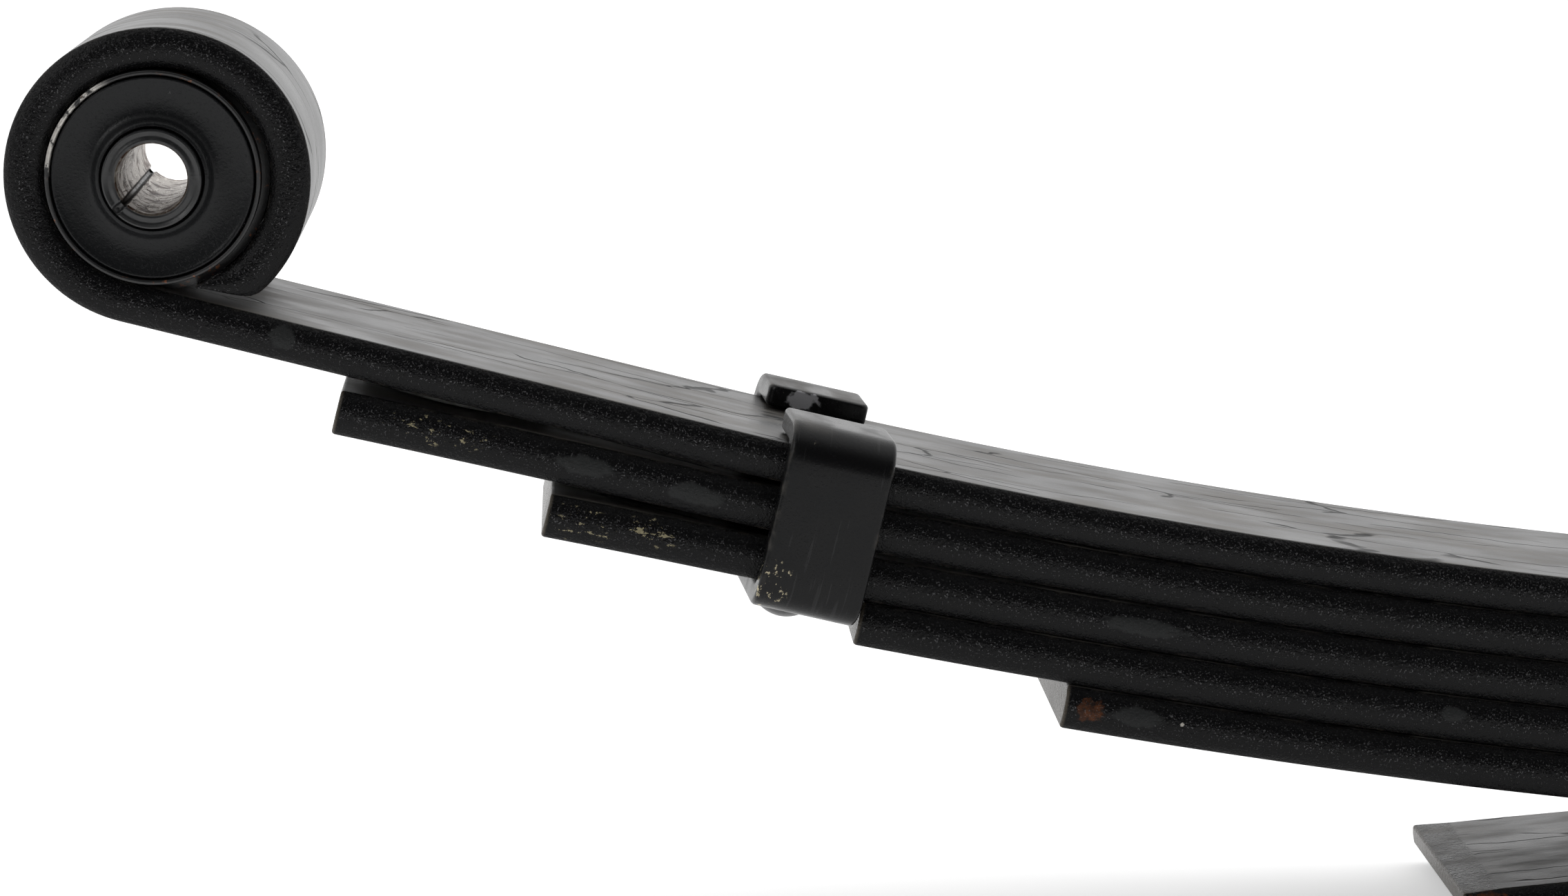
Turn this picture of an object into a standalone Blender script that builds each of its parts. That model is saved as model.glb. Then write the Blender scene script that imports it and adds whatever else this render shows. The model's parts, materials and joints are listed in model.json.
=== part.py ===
"""Semi-elliptic leaf spring for a light truck axle, built as the loose pieces that it is assembled from.

Five cambered leaves and a reverse-bent overload leaf are held together by a centre bolt. The main leaf
is rolled up into an eye at each end, and each eye holds a rubber bushing with a split inner sleeve.
A riveted clip at each end keeps the three longest leaves together on rebound, and round pads hold the
tips of the second and third leaves off the leaf above.

The spring lies along X, its width is along Y, and +Z is up. The origin is on the surface that the
spring stands on, under the centre bolt.
"""

import math

import bmesh
import bpy
from mathutils import Matrix, Vector

# Driving dimensions, in metres (angles in radians).

# overall form
HALF_SPAN = 0.508  # centre bolt to eye axis
LEAF_WIDTH = 0.0635
SEAT_HALF = 0.040  # half the length of the flat clamp seat
NUT_ROOM = 0.012  # either side of the centre bolt, left for the nut and the bolt's head
SEAT_HOLLOW = 0.00005  # of the underside there, so that the pack bears on the outer parts of its seat
CAMBER_RADIUS = 1.440  # top face of the main leaf
RISE_ANGLE = math.radians(14.25)  # slope of the main leaf's straight end

# leaves
MAIN_THICKNESS = 0.0083
LEAF_THICKNESS = 0.0093
OVERLOAD_THICKNESS = 0.0093
OVERLOAD_RADIUS = 2.0  # reverse camber of the overload leaf's top face
EDGE_RADIUS = 0.0025  # rolled edge of the spring bar
SECOND_SETBACK = 0.0472  # each leaf's tip, back from the tip of the leaf above
THIRD_SETBACK = 0.0469
FOURTH_SETBACK = 0.0673
FIFTH_SETBACK = 0.0447
OVERLOAD_SETBACK = 0.0779
TIP_CHAMFER_LENGTH = 0.008  # under the overload leaf's tips
TIP_CHAMFER_HEIGHT = 0.005
LIFT_START = 0.190  # from the centre bolt, where the pads begin to hold the leaves apart

# eyes and bushings
EYE_BORE_RADIUS = 0.0222
WRAP_ANGLE = math.radians(324.0)
WRAP_OPENING = 0.0016  # how far the roll opens towards its free end
OPENING_START = math.radians(150.0)
OPENING_END = math.radians(250.0)
SCARF_HEIGHT = 0.0026  # free end of the roll, above the leaf
NOSE_RADIUS = 0.004
SHELL_WALL = 0.0010
SHELL_PROUD = 0.0003
SLEEVE_BORE_RADIUS = 0.00715
SLEEVE_WALL = 0.0030
SLEEVE_PROUD = 0.0030
SLEEVE_CHAMFER = 0.0006
SEAM_WIDTH = 0.0012
SEAM_ANGLE = math.radians(220.6)  # about the bolt axis, from +X towards +Z
COLLAR_WIDTH = 0.0022  # rubber collar round the sleeve
COLLAR_HEIGHT = 0.0016
DISH_DEPTH = 0.0012

# rebound clips
CLIP_WIDTH = 0.0220
CLIP_THICKNESS = 0.0048
CLIP_SIDE_CLEARANCE = 0.0005
CLIP_TAB_CLEARANCE = 0.0005
CLIP_TAB_LENGTH = 0.018
CLIP_INNER_BEND = 0.003
CLIP_EDGE_RADIUS = 0.001
CLIP_TO_LEAF = 0.0026  # from the fourth leaf's tip
CLIP_SKEW = 0.068  # how far a clip runs towards its eye, per distance across the spring
RIVET_RADIUS = 0.00475
RIVET_HEAD_RADIUS = 0.0078
RIVET_HEAD_HEIGHT = 0.0062
RIVET_SINK_RADIUS = 0.0075
RIVET_SINK_DEPTH = 0.0028

# tip pads
PAD_RADIUS = 0.020
PAD_TO_TIP = 0.004  # from the pad's rim to the leaf's tip
PAD_STEM_RADIUS = 0.006
SECOND_PAD_HEAD = 0.0015
THIRD_PAD_HEAD = 0.0010

# centre bolt
BOLT_RADIUS = 0.00476
BOLT_HOLE_CLEARANCE = 0.0005
BOLT_HEAD_RADIUS = 0.0079
BOLT_HEAD_HEIGHT = 0.0060
BOLT_OVERHANG = 0.004
NUT_ACROSS_FLATS = 0.0143
NUT_HEIGHT = 0.0084

CLEARANCE = 0.0003  # paint between pieces that touch
CHAMFER = 0.0008
ARC_STEP = 0.030  # facets along a leaf
LEAST_STEP = 0.003
EYE_STEP = math.radians(9.0)
CORNER_STEPS = 4
DOME_STEPS = 6
ROUND_STEPS = 24
SHELL_STEPS = 36
OVERSHOOT = 0.004  # how far a cutter runs past what it cuts


# The line that every leaf follows is the main leaf's top face: flat on the seat, then an arc, then
# straight up to the eye. A place on the spring is a distance along that line and a depth below it.

ARC_END = SEAT_HALF + CAMBER_RADIUS * RISE_ANGLE
ARC_END_X = SEAT_HALF + CAMBER_RADIUS * math.sin(RISE_ANGLE)
STRAIGHT = (HALF_SPAN - ARC_END_X + EYE_BORE_RADIUS * math.sin(RISE_ANGLE)) / math.cos(RISE_ANGLE)
EYE_TANGENT = ARC_END + STRAIGHT

SECOND_TIP = EYE_TANGENT - SECOND_SETBACK
THIRD_TIP = SECOND_TIP - THIRD_SETBACK
FOURTH_TIP = THIRD_TIP - FOURTH_SETBACK
FIFTH_TIP = FOURTH_TIP - FIFTH_SETBACK
OVERLOAD_TIP = FIFTH_TIP - OVERLOAD_SETBACK
CLIP_PLACE = FOURTH_TIP + CLIP_TO_LEAF + CLIP_WIDTH / 2
SECOND_PAD_PLACE = SECOND_TIP - PAD_TO_TIP - PAD_RADIUS
THIRD_PAD_PLACE = THIRD_TIP - PAD_TO_TIP - PAD_RADIUS


def slope_at(distance):
    """Slope of the line at a distance from the centre bolt."""
    return min(max(distance - SEAT_HALF, 0.0), ARC_END - SEAT_HALF) / CAMBER_RADIUS


def line_at(distance):
    """Point (x, z) of the line, with z measured from the seat's top face."""
    slope = slope_at(distance)
    x = min(distance, SEAT_HALF) + CAMBER_RADIUS * math.sin(slope)
    z = CAMBER_RADIUS * (1 - math.cos(slope))
    beyond = max(distance - ARC_END, 0.0)
    return Vector((x + beyond * math.cos(slope), z + beyond * math.sin(slope)))


def point_at(distance, depth):
    slope = slope_at(distance)
    return line_at(distance) + depth * Vector((math.sin(slope), -math.cos(slope)))


def lifted(distance, pad_place, pad_head):
    """Gap over a leaf whose pad holds it off the leaf above: it grows as the cube of the distance."""
    run = max(distance - LIFT_START, 0.0) / (pad_place - LIFT_START)
    return CLEARANCE + (pad_head + 2 * CLEARANCE) * run**3


def second_top(distance):
    return MAIN_THICKNESS + lifted(distance, SECOND_PAD_PLACE, SECOND_PAD_HEAD)


def third_top(distance):
    return second_top(distance) + LEAF_THICKNESS + lifted(distance, THIRD_PAD_PLACE, THIRD_PAD_HEAD)


def fourth_top(distance):
    return third_top(distance) + LEAF_THICKNESS + CLEARANCE


def fifth_top(distance):
    return fourth_top(distance) + LEAF_THICKNESS + CLEARANCE


OVERLOAD_DEPTH = fifth_top(0.0) + LEAF_THICKNESS + CLEARANCE


def overload_at(distance, depth):
    """Point (x, z) of the overload leaf, at a depth below its own top face, which bends down."""
    slope = max(distance - SEAT_HALF, 0.0) / OVERLOAD_RADIUS
    x = min(distance, SEAT_HALF) + (OVERLOAD_RADIUS - depth) * math.sin(slope)
    drop = OVERLOAD_RADIUS * (1 - math.cos(slope)) + depth * math.cos(slope)
    return Vector((x, -OVERLOAD_DEPTH - drop))


TIP_CHAMFER_START = OVERLOAD_TIP - TIP_CHAMFER_LENGTH
TIPS_LOW = overload_at(TIP_CHAMFER_START, OVERLOAD_THICKNESS).y
HEAD_LOW = -OVERLOAD_DEPTH - OVERLOAD_THICKNESS - CLEARANCE - BOLT_HEAD_HEIGHT
SEAT_Z = -min(TIPS_LOW, HEAD_LOW)

EYE_RADIAL = Vector((math.sin(RISE_ANGLE), -math.cos(RISE_ANGLE)))  # from the eye's axis to the leaf
EYE_CENTRE = line_at(EYE_TANGENT) - EYE_BORE_RADIUS * EYE_RADIAL
EYE_Z = SEAT_Z + EYE_CENTRE.y

SHELL_RADIUS = EYE_BORE_RADIUS - CLEARANCE
SHELL_BORE = SHELL_RADIUS - SHELL_WALL
SLEEVE_RADIUS = SLEEVE_BORE_RADIUS + SLEEVE_WALL
RUBBER_RADIUS = SHELL_BORE - CLEARANCE
RUBBER_BORE = SLEEVE_RADIUS + CLEARANCE


# Scene, collections and materials.

for old in list(bpy.data.objects):
    bpy.data.objects.remove(old, do_unlink=True)

PARTS = bpy.data.collections.new("leaf_spring")
CUTTERS = bpy.data.collections.new("cutters")
for collection in (PARTS, CUTTERS):
    bpy.context.scene.collection.children.link(collection)
CUTTERS.hide_render = True


def material(name, color, roughness, metallic):
    made = bpy.data.materials.new(name)
    made.use_nodes = True
    shader = made.node_tree.nodes["Principled BSDF"]
    shader.inputs["Base Color"].default_value = (*color, 1.0)
    shader.inputs["Roughness"].default_value = roughness
    shader.inputs["Metallic"].default_value = metallic
    return made


LEAF_PAINT = material("leaf_paint", (0.018, 0.018, 0.02), 0.42, 0.0)
CLIP_PAINT = material("clip_paint", (0.02, 0.021, 0.023), 0.36, 0.0)
FASTENER_PAINT = material("fastener_paint", (0.03, 0.03, 0.032), 0.4, 0.0)
SHELL_STEEL = material("shell_steel", (0.05, 0.05, 0.05), 0.4, 0.6)
BUSHING_RUBBER = material("bushing_rubber", (0.012, 0.013, 0.015), 0.45, 0.0)
SLEEVE_STEEL = material("sleeve_steel", (0.26, 0.23, 0.2), 0.4, 1.0)
PAD_PLASTIC = material("pad_plastic", (0.42, 0.42, 0.4), 0.5, 0.0)


# Building blocks.


def place(obj, matrix, mat):
    """Link a finished piece in its place, shaded smooth over its round faces."""
    obj.matrix_world = matrix
    obj.data.materials.clear()
    obj.data.materials.append(mat)
    obj.data.shade_smooth()
    obj.data.set_sharp_from_angle(angle=math.radians(40))
    PARTS.objects.link(obj)
    return obj


def as_cutter(obj, matrix):
    obj.matrix_world = matrix
    obj.hide_render = True
    obj.display_type = "WIRE"
    CUTTERS.objects.link(obj)
    return obj


def cut(obj, cutter):
    boolean = obj.modifiers.new(cutter.name, "BOOLEAN")
    boolean.operation = "DIFFERENCE"
    boolean.solver = "EXACT"
    boolean.object = cutter


def plate_mesh(name, outline, width, splits=()):
    """A flat outline in the local XY plane, drawn as a filled curve and extruded to a width along Z. Its
    faces are divided at each x in splits."""
    curve = bpy.data.curves.new(name, "CURVE")
    curve.dimensions = "2D"
    curve.fill_mode = "BOTH"
    curve.extrude = width / 2
    spline = curve.splines.new("POLY")
    spline.points.add(len(outline) - 1)
    for point, (x, y) in zip(spline.points, outline):
        point.co = (x, y, 0.0, 1.0)
    spline.use_cyclic_u = True
    guide = bpy.data.objects.new(name + "_outline", curve)
    bpy.context.scene.collection.objects.link(guide)
    graph = bpy.context.evaluated_depsgraph_get()
    mesh = bpy.data.meshes.new_from_object(guide.evaluated_get(graph))
    mesh.name = name
    bpy.data.objects.remove(guide, do_unlink=True)

    shape = bmesh.new()
    shape.from_mesh(mesh)
    bmesh.ops.remove_doubles(shape, verts=shape.verts, dist=1e-6)
    for side in (-1, 1):
        cap = [face for face in shape.faces if abs(face.normal.z) > 0.9]
        cap = [face for face in cap if face.calc_center_median().z * side > 0]
        bmesh.ops.dissolve_faces(shape, faces=cap, use_verts=False)
    for x in splits:
        everything = shape.verts[:] + shape.edges[:] + shape.faces[:]
        bmesh.ops.bisect_plane(shape, geom=everything, plane_co=(x, 0, 0), plane_no=(1, 0, 0))
    bmesh.ops.recalc_face_normals(shape, faces=shape.faces)
    shape.to_mesh(mesh)
    shape.free()
    return mesh


def round_long_edges(obj, is_rounded, radius):
    """Round the edges of a plate's two faces wherever is_rounded(start, end) says so."""
    shape = bmesh.new()
    shape.from_mesh(obj.data)
    weight = shape.edges.layers.float.new("bevel_weight_edge")
    for edge in shape.edges:
        start, end = (vert.co for vert in edge.verts)
        on_rim = abs(start.z - end.z) < 1e-6
        edge[weight] = 1.0 if on_rim and is_rounded(start, end) else 0.0
    shape.to_mesh(obj.data)
    shape.free()
    bevel = obj.modifiers.new("rolled_edge", "BEVEL")
    bevel.limit_method = "WEIGHT"
    bevel.width = radius
    bevel.segments = 2
    bevel.use_clamp_overlap = False


def turned(name, profile, steps=ROUND_STEPS, closed=False):
    """A profile of (radius, height) points, down the outer side first, turned about local Z."""
    mesh = bpy.data.meshes.new(name)
    shape = bmesh.new()
    verts = [shape.verts.new((radius, 0.0, height)) for radius, height in profile]
    ends = verts[1:] + verts[:1] if closed else verts[1:]
    for start, end in zip(verts, ends):
        shape.edges.new((start, end))
    shape.to_mesh(mesh)
    shape.free()
    obj = bpy.data.objects.new(name, mesh)
    screw = obj.modifiers.new("turn", "SCREW")
    screw.axis = "Z"
    screw.steps = steps
    screw.render_steps = steps
    screw.use_merge_vertices = True
    screw.merge_threshold = 1e-5
    return obj


def drill(name, radius, low, high, matrix):
    """A cylinder along local Z that cuts a hole."""
    mesh = bpy.data.meshes.new(name)
    shape = bmesh.new()
    bmesh.ops.create_cone(
        shape, cap_ends=True, segments=ROUND_STEPS, radius1=radius, radius2=radius, depth=high - low
    )
    bmesh.ops.translate(shape, verts=shape.verts, vec=(0, 0, (low + high) / 2))
    shape.to_mesh(mesh)
    shape.free()
    return as_cutter(bpy.data.objects.new(name, mesh), matrix)


def block(name, low, high, matrix):
    """A box between two corners that cuts a slot."""
    mesh = bpy.data.meshes.new(name)
    shape = bmesh.new()
    bmesh.ops.create_cube(shape, size=1.0)
    size = Vector(high) - Vector(low)
    bmesh.ops.scale(shape, verts=shape.verts, vec=size)
    bmesh.ops.translate(shape, verts=shape.verts, vec=Vector(low) + size / 2)
    shape.to_mesh(mesh)
    shape.free()
    return as_cutter(bpy.data.objects.new(name, mesh), matrix)


# Places. An end is -1 for the front (-X) and +1 for the rear (+X).

UPRIGHT = Matrix.Translation((0, 0, SEAT_Z)) @ Matrix.Rotation(math.radians(90), 4, "X")
ENDS = (("front", -1), ("rear", 1))


def across_leaf(end, distance, depth):
    """Axes on the spring: X along the leaf, Y across it and Z square to its face, at a depth."""
    point = point_at(distance, depth)
    turn = Matrix.Rotation(-end * slope_at(distance), 4, "Y")
    return Matrix.Translation((end * point.x, 0, SEAT_Z + point.y)) @ turn


def on_eye(end):
    """Axes at an eye: Z along the bushing, which is +Y of the spring."""
    return Matrix.Translation((end * HALF_SPAN, 0, EYE_Z)) @ Matrix.Rotation(math.radians(-90), 4, "X")


# Leaves.


def stations(tip):
    """Distances along a leaf where its outline has a point, from the seat's edge to the tip."""
    steps = math.ceil((tip - SEAT_HALF - LEAST_STEP) / ARC_STEP)
    return [SEAT_HALF + ARC_STEP * index for index in range(steps)] + [tip]


def mirrored(half):
    """The whole outline, from its rear half: the points from the centre line round to the centre line."""
    return half + [Vector((-point.x, point.y)) for point in reversed(half)]


def leaf_outline(tip, top, thickness):
    upper = [point_at(distance, top(distance)) for distance in stations(tip)]
    lower = [point_at(distance, top(distance) + thickness) for distance in stations(tip)]
    return mirrored(upper + lower[::-1])


def overload_outline():
    distances = stations(TIP_CHAMFER_START)
    upper = [overload_at(distance, 0.0) for distance in distances + [OVERLOAD_TIP]]
    lower = [overload_at(distance, OVERLOAD_THICKNESS) for distance in distances]
    lower.insert(0, overload_at(NUT_ROOM, OVERLOAD_THICKNESS - SEAT_HOLLOW))
    tip = overload_at(OVERLOAD_TIP, OVERLOAD_THICKNESS - TIP_CHAMFER_HEIGHT)
    return mirrored(upper + [tip] + lower[::-1])


def wrap_point(angle, offset):
    """A point of the roll: the angle from where the leaf meets it, and the offset from its inner face."""
    run = min(max((angle - OPENING_START) / (OPENING_END - OPENING_START), 0.0), 1.0)
    opening = WRAP_OPENING * run * run * (3 - 2 * run)
    radial = Matrix.Rotation(angle, 2) @ EYE_RADIAL
    return EYE_CENTRE + (EYE_BORE_RADIUS + opening + offset) * radial


def scarf_angle(offset):
    """Angle at which a face of the roll meets the sloped cut of its free end."""
    radius = EYE_BORE_RADIUS + WRAP_OPENING + offset
    return 2 * math.pi - math.acos((EYE_BORE_RADIUS - SCARF_HEIGHT) / radius)


def nose(corner, before, after, radius):
    """Points of an arc that rounds the corner between the directions to two other points."""
    to_before = (before - corner).normalized()
    to_after = (after - corner).normalized()
    half = to_before.angle(to_after) / 2
    centre = corner + (to_before + to_after).normalized() * radius / math.sin(half)
    start = corner + to_before * radius / math.tan(half) - centre
    end = corner + to_after * radius / math.tan(half) - centre
    sweep = start.angle_signed(end)
    turns = [-sweep * step / CORNER_STEPS for step in range(CORNER_STEPS + 1)]
    return [centre + Matrix.Rotation(turn, 2) @ start for turn in turns]


def wrap(end_angle, offset):
    """Points of one face of the roll, from the leaf round to an angle."""
    count = round(end_angle / EYE_STEP)
    return [wrap_point(end_angle * index / count, offset) for index in range(count + 1)]


def main_outline():
    """Along the top face, round the inside of the roll, back round its outside and along the underside."""
    outer_end = scarf_angle(MAIN_THICKNESS)
    inner = wrap(min(scarf_angle(0.0), WRAP_ANGLE), 0.0)
    outer = wrap(outer_end - NOSE_RADIUS / EYE_BORE_RADIUS - EYE_STEP / 4, MAIN_THICKNESS)
    tip = nose(wrap_point(outer_end, MAIN_THICKNESS), inner[-1], outer[-1], NOSE_RADIUS)
    upper = [line_at(distance) for distance in stations(ARC_END)]
    lower = [point_at(distance, MAIN_THICKNESS) for distance in stations(ARC_END)]
    return mirrored(upper + inner + tip + outer[::-1] + lower[::-1])


def near_scarf(point):
    """Whether a point of the main leaf's outline is on the thin end of the roll, which stays sharp."""
    offset = Vector((abs(point.x), point.y)) - EYE_CENTRE
    above_leaf = EYE_BORE_RADIUS - offset.dot(EYE_RADIAL)
    along = offset.x * math.cos(RISE_ANGLE) + offset.y * math.sin(RISE_ANGLE)
    inboard = -EYE_BORE_RADIUS - WRAP_OPENING - MAIN_THICKNESS < along < 0
    return inboard and SCARF_HEIGHT / 2 < above_leaf < SCARF_HEIGHT + NOSE_RADIUS


def is_leaf_side(start, end):
    """Along a leaf's length, and not up its cut end."""
    return abs(start.x - end.x) > 2 * abs(start.y - end.y)


def make_leaf(name, outline, is_rounded, splits=()):
    obj = bpy.data.objects.new(name, plate_mesh(name, outline, LEAF_WIDTH, splits))
    place(obj, UPRIGHT, LEAF_PAINT)
    round_long_edges(obj, is_rounded, EDGE_RADIUS)
    return obj


main_leaf = make_leaf(
    "main_leaf",
    main_outline(),
    lambda start, end: not (near_scarf(start) or near_scarf(end)),
    (-NUT_ROOM, NUT_ROOM),
)
second_leaf = make_leaf("second_leaf", leaf_outline(SECOND_TIP, second_top, LEAF_THICKNESS), is_leaf_side)
third_leaf = make_leaf("third_leaf", leaf_outline(THIRD_TIP, third_top, LEAF_THICKNESS), is_leaf_side)
fourth_leaf = make_leaf("fourth_leaf", leaf_outline(FOURTH_TIP, fourth_top, LEAF_THICKNESS), is_leaf_side)
fifth_leaf = make_leaf("fifth_leaf", leaf_outline(FIFTH_TIP, fifth_top, LEAF_THICKNESS), is_leaf_side)
overload_leaf = make_leaf("overload_leaf", overload_outline(), is_leaf_side)

# Centre bolt, nut and the hole for the bolt through every leaf.

STACK_LOW = -OVERLOAD_DEPTH - OVERLOAD_THICKNESS
AT_CENTRE = Matrix.Translation((0, 0, SEAT_Z))

bolt_hole = drill(
    "bolt_hole", BOLT_RADIUS + BOLT_HOLE_CLEARANCE, STACK_LOW - OVERSHOOT, OVERSHOOT, AT_CENTRE
)
for leaf in (main_leaf, second_leaf, third_leaf, fourth_leaf, fifth_leaf, overload_leaf):
    cut(leaf, bolt_hole)

nut_low = CLEARANCE
nut_high = nut_low + NUT_HEIGHT
bolt_top = nut_high + BOLT_OVERHANG
head_top = STACK_LOW - CLEARANCE
head_low = head_top - BOLT_HEAD_HEIGHT
centre_bolt = turned(
    "centre_bolt",
    [
        (0.0, bolt_top),
        (BOLT_RADIUS - CHAMFER, bolt_top),
        (BOLT_RADIUS, bolt_top - CHAMFER),
        (BOLT_RADIUS, head_top),
        (BOLT_HEAD_RADIUS, head_top),
        (BOLT_HEAD_RADIUS, head_low + CHAMFER),
        (BOLT_HEAD_RADIUS - CHAMFER, head_low),
        (0.0, head_low),
    ],
)
place(centre_bolt, AT_CENTRE, FASTENER_PAINT)


def make_nut():
    """A hexagon whose corners are chamfered by the cone that a nut is turned with."""
    corner = NUT_ACROSS_FLATS / math.sqrt(3)
    mesh = bpy.data.meshes.new("centre_nut")
    shape = bmesh.new()
    bmesh.ops.create_cone(
        shape, cap_ends=True, segments=6, radius1=corner, radius2=corner, depth=NUT_HEIGHT
    )
    bmesh.ops.translate(shape, verts=shape.verts, vec=(0, 0, nut_low + NUT_HEIGHT / 2))
    shape.to_mesh(mesh)
    shape.free()
    nut = place(bpy.data.objects.new("centre_nut", mesh), AT_CENTRE, FASTENER_PAINT)
    rim = turned(
        "nut_chamfer",
        [
            (corner + OVERSHOOT, nut_high + OVERSHOOT),
            (corner + OVERSHOOT, nut_high - CHAMFER),
            (corner, nut_high - CHAMFER),
            (NUT_ACROSS_FLATS / 2 - CHAMFER / 2, nut_high + CHAMFER / 2),
            (NUT_ACROSS_FLATS / 2 - CHAMFER / 2, nut_high + OVERSHOOT),
        ],
        closed=True,
    )
    cut(nut, as_cutter(rim, AT_CENTRE))
    thread = drill(
        "nut_thread", BOLT_RADIUS + CLEARANCE, nut_low - OVERSHOOT, nut_high + OVERSHOOT, AT_CENTRE
    )
    cut(nut, thread)


make_nut()


# Tip pads, each with its stem in a hole near the tip of the leaf that carries it.


def make_pad(name, leaf, end, distance, top, head):
    stem = LEAF_THICKNESS - CLEARANCE
    lean = math.atan((top(distance + PAD_RADIUS) - top(distance - PAD_RADIUS)) / (2 * PAD_RADIUS))
    at_pad = across_leaf(end, distance, top(distance)) @ Matrix.Rotation(end * lean, 4, "Y")
    pad = turned(
        name,
        [
            (0.0, CLEARANCE + head),
            (PAD_RADIUS - head / 3, CLEARANCE + head),
            (PAD_RADIUS, CLEARANCE + head * 2 / 3),
            (PAD_RADIUS, CLEARANCE),
            (PAD_STEM_RADIUS, CLEARANCE),
            (PAD_STEM_RADIUS, -stem),
            (0.0, -stem),
        ],
    )
    place(pad, at_pad, PAD_PLASTIC)
    hole_low = -LEAF_THICKNESS - OVERSHOOT
    cut(leaf, drill(name + "_hole", PAD_STEM_RADIUS + CLEARANCE, hole_low, OVERSHOOT, at_pad))


for end_name, end_side in ENDS:
    second = end_name + "_second_pad"
    third = end_name + "_third_pad"
    make_pad(second, second_leaf, end_side, SECOND_PAD_PLACE, second_top, SECOND_PAD_HEAD)
    make_pad(third, third_leaf, end_side, THIRD_PAD_PLACE, third_top, THIRD_PAD_HEAD)


# Rebound clips, each riveted under the third leaf with its two tabs bent over the main leaf.


def rounded_path(corners, radii):
    """Points of a path through square corners, with each inner corner rounded to a radius."""
    points = [corners[0]]
    for before, corner, after, radius in zip(corners, corners[1:], corners[2:], radii):
        to_before = (before - corner).normalized()
        to_after = (after - corner).normalized()
        centre = corner + (to_before + to_after) * radius
        start = corner + to_before * radius - centre
        sweep = start.angle_signed(corner + to_after * radius - centre)
        turns = [-sweep * step / CORNER_STEPS for step in range(CORNER_STEPS + 1)]
        points += [centre + Matrix.Rotation(turn, 2) @ start for turn in turns]
    return points + [corners[-1]]


# Heights at a clip, from the main leaf's top face: the third leaf's top, and the clip's face under it.
THIRD_FACE = -third_top(CLIP_PLACE)
CLIP_WEB = -third_top(CLIP_PLACE + CLIP_WIDTH / 2) - LEAF_THICKNESS - CLEARANCE


def clip_outline():
    """Section across the spring: the inside of the clip from tab to tab, then back along the outside."""

    def section(offset):
        side = LEAF_WIDTH / 2 + CLIP_SIDE_CLEARANCE + offset
        tab = CLIP_TAB_CLEARANCE + offset
        web = CLIP_WEB - offset
        tab_end = LEAF_WIDTH / 2 + CLIP_SIDE_CLEARANCE - CLIP_TAB_LENGTH
        half = [Vector((tab_end, tab)), Vector((side, tab)), Vector((side, web))]
        return rounded_path(mirrored(half), [CLIP_INNER_BEND + offset] * 4)

    return section(0.0) + section(CLIP_THICKNESS)[::-1]


def dome(face):
    """Profile of the rivet's round head, from its rim at a height down to its crown on the axis."""
    sphere = (RIVET_HEAD_RADIUS**2 + RIVET_HEAD_HEIGHT**2) / (2 * RIVET_HEAD_HEIGHT)
    half_angle = 2 * math.atan2(RIVET_HEAD_HEIGHT, RIVET_HEAD_RADIUS)
    centre = face - RIVET_HEAD_HEIGHT + sphere
    angles = [half_angle * (1 - step / DOME_STEPS) for step in range(DOME_STEPS + 1)]
    return [(sphere * math.sin(angle), centre - sphere * math.cos(angle)) for angle in angles]


def make_clip(end_name, end):
    name = end_name + "_clip"
    at_clip = across_leaf(end, CLIP_PLACE, 0.0)
    # The outline's X goes across the spring, its Y up, and its thickness along the leaf.
    laid = at_clip @ Matrix(((0, 0, 1, 0), (1, 0, 0, 0), (0, 1, 0, 0), (0, 0, 0, 1)))
    clip = bpy.data.objects.new(name, plate_mesh(name, clip_outline(), CLIP_WIDTH))
    for vert in clip.data.vertices:
        vert.co.z += end * CLIP_SKEW * vert.co.x
    place(clip, laid, CLIP_PAINT)
    round_long_edges(clip, lambda start, stop: True, CLIP_EDGE_RADIUS)

    rivet_top = THIRD_FACE - CLEARANCE
    dome_face = CLIP_WEB - CLIP_THICKNESS - CLEARANCE
    sink_low = THIRD_FACE - RIVET_SINK_DEPTH
    rivet = turned(
        name + "_rivet",
        [
            (0.0, rivet_top),
            (RIVET_SINK_RADIUS - CLEARANCE, rivet_top),
            (RIVET_RADIUS, sink_low - CLEARANCE),
            (RIVET_RADIUS, dome_face),
        ]
        + dome(dome_face),
    )
    place(rivet, at_clip, FASTENER_PAINT)

    hole = RIVET_RADIUS + CLEARANCE
    sink = RIVET_SINK_RADIUS + CLEARANCE
    rivet_hole = turned(
        name + "_rivet_hole",
        [
            (0.0, THIRD_FACE + OVERSHOOT),
            (sink, THIRD_FACE + OVERSHOOT),
            (sink, THIRD_FACE),
            (hole, sink_low),
            (hole, dome_face - OVERSHOOT),
            (0.0, dome_face - OVERSHOOT),
        ],
    )
    as_cutter(rivet_hole, at_clip)
    cut(clip, rivet_hole)
    cut(third_leaf, rivet_hole)


for end_name, end_side in ENDS:
    make_clip(end_name, end_side)


# Bushings: an outer shell, rubber, and a split inner sleeve that turns in it about the eye's axis.


def ring(half_length, outer, inner, chamfer):
    """Section of a tube whose ends are chamfered outside and inside."""
    return [
        (outer - chamfer, half_length),
        (outer, half_length - chamfer),
        (outer, chamfer - half_length),
        (outer - chamfer, -half_length),
        (inner + chamfer, -half_length),
        (inner, chamfer - half_length),
        (inner, half_length - chamfer),
        (inner + chamfer, half_length),
    ]


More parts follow.
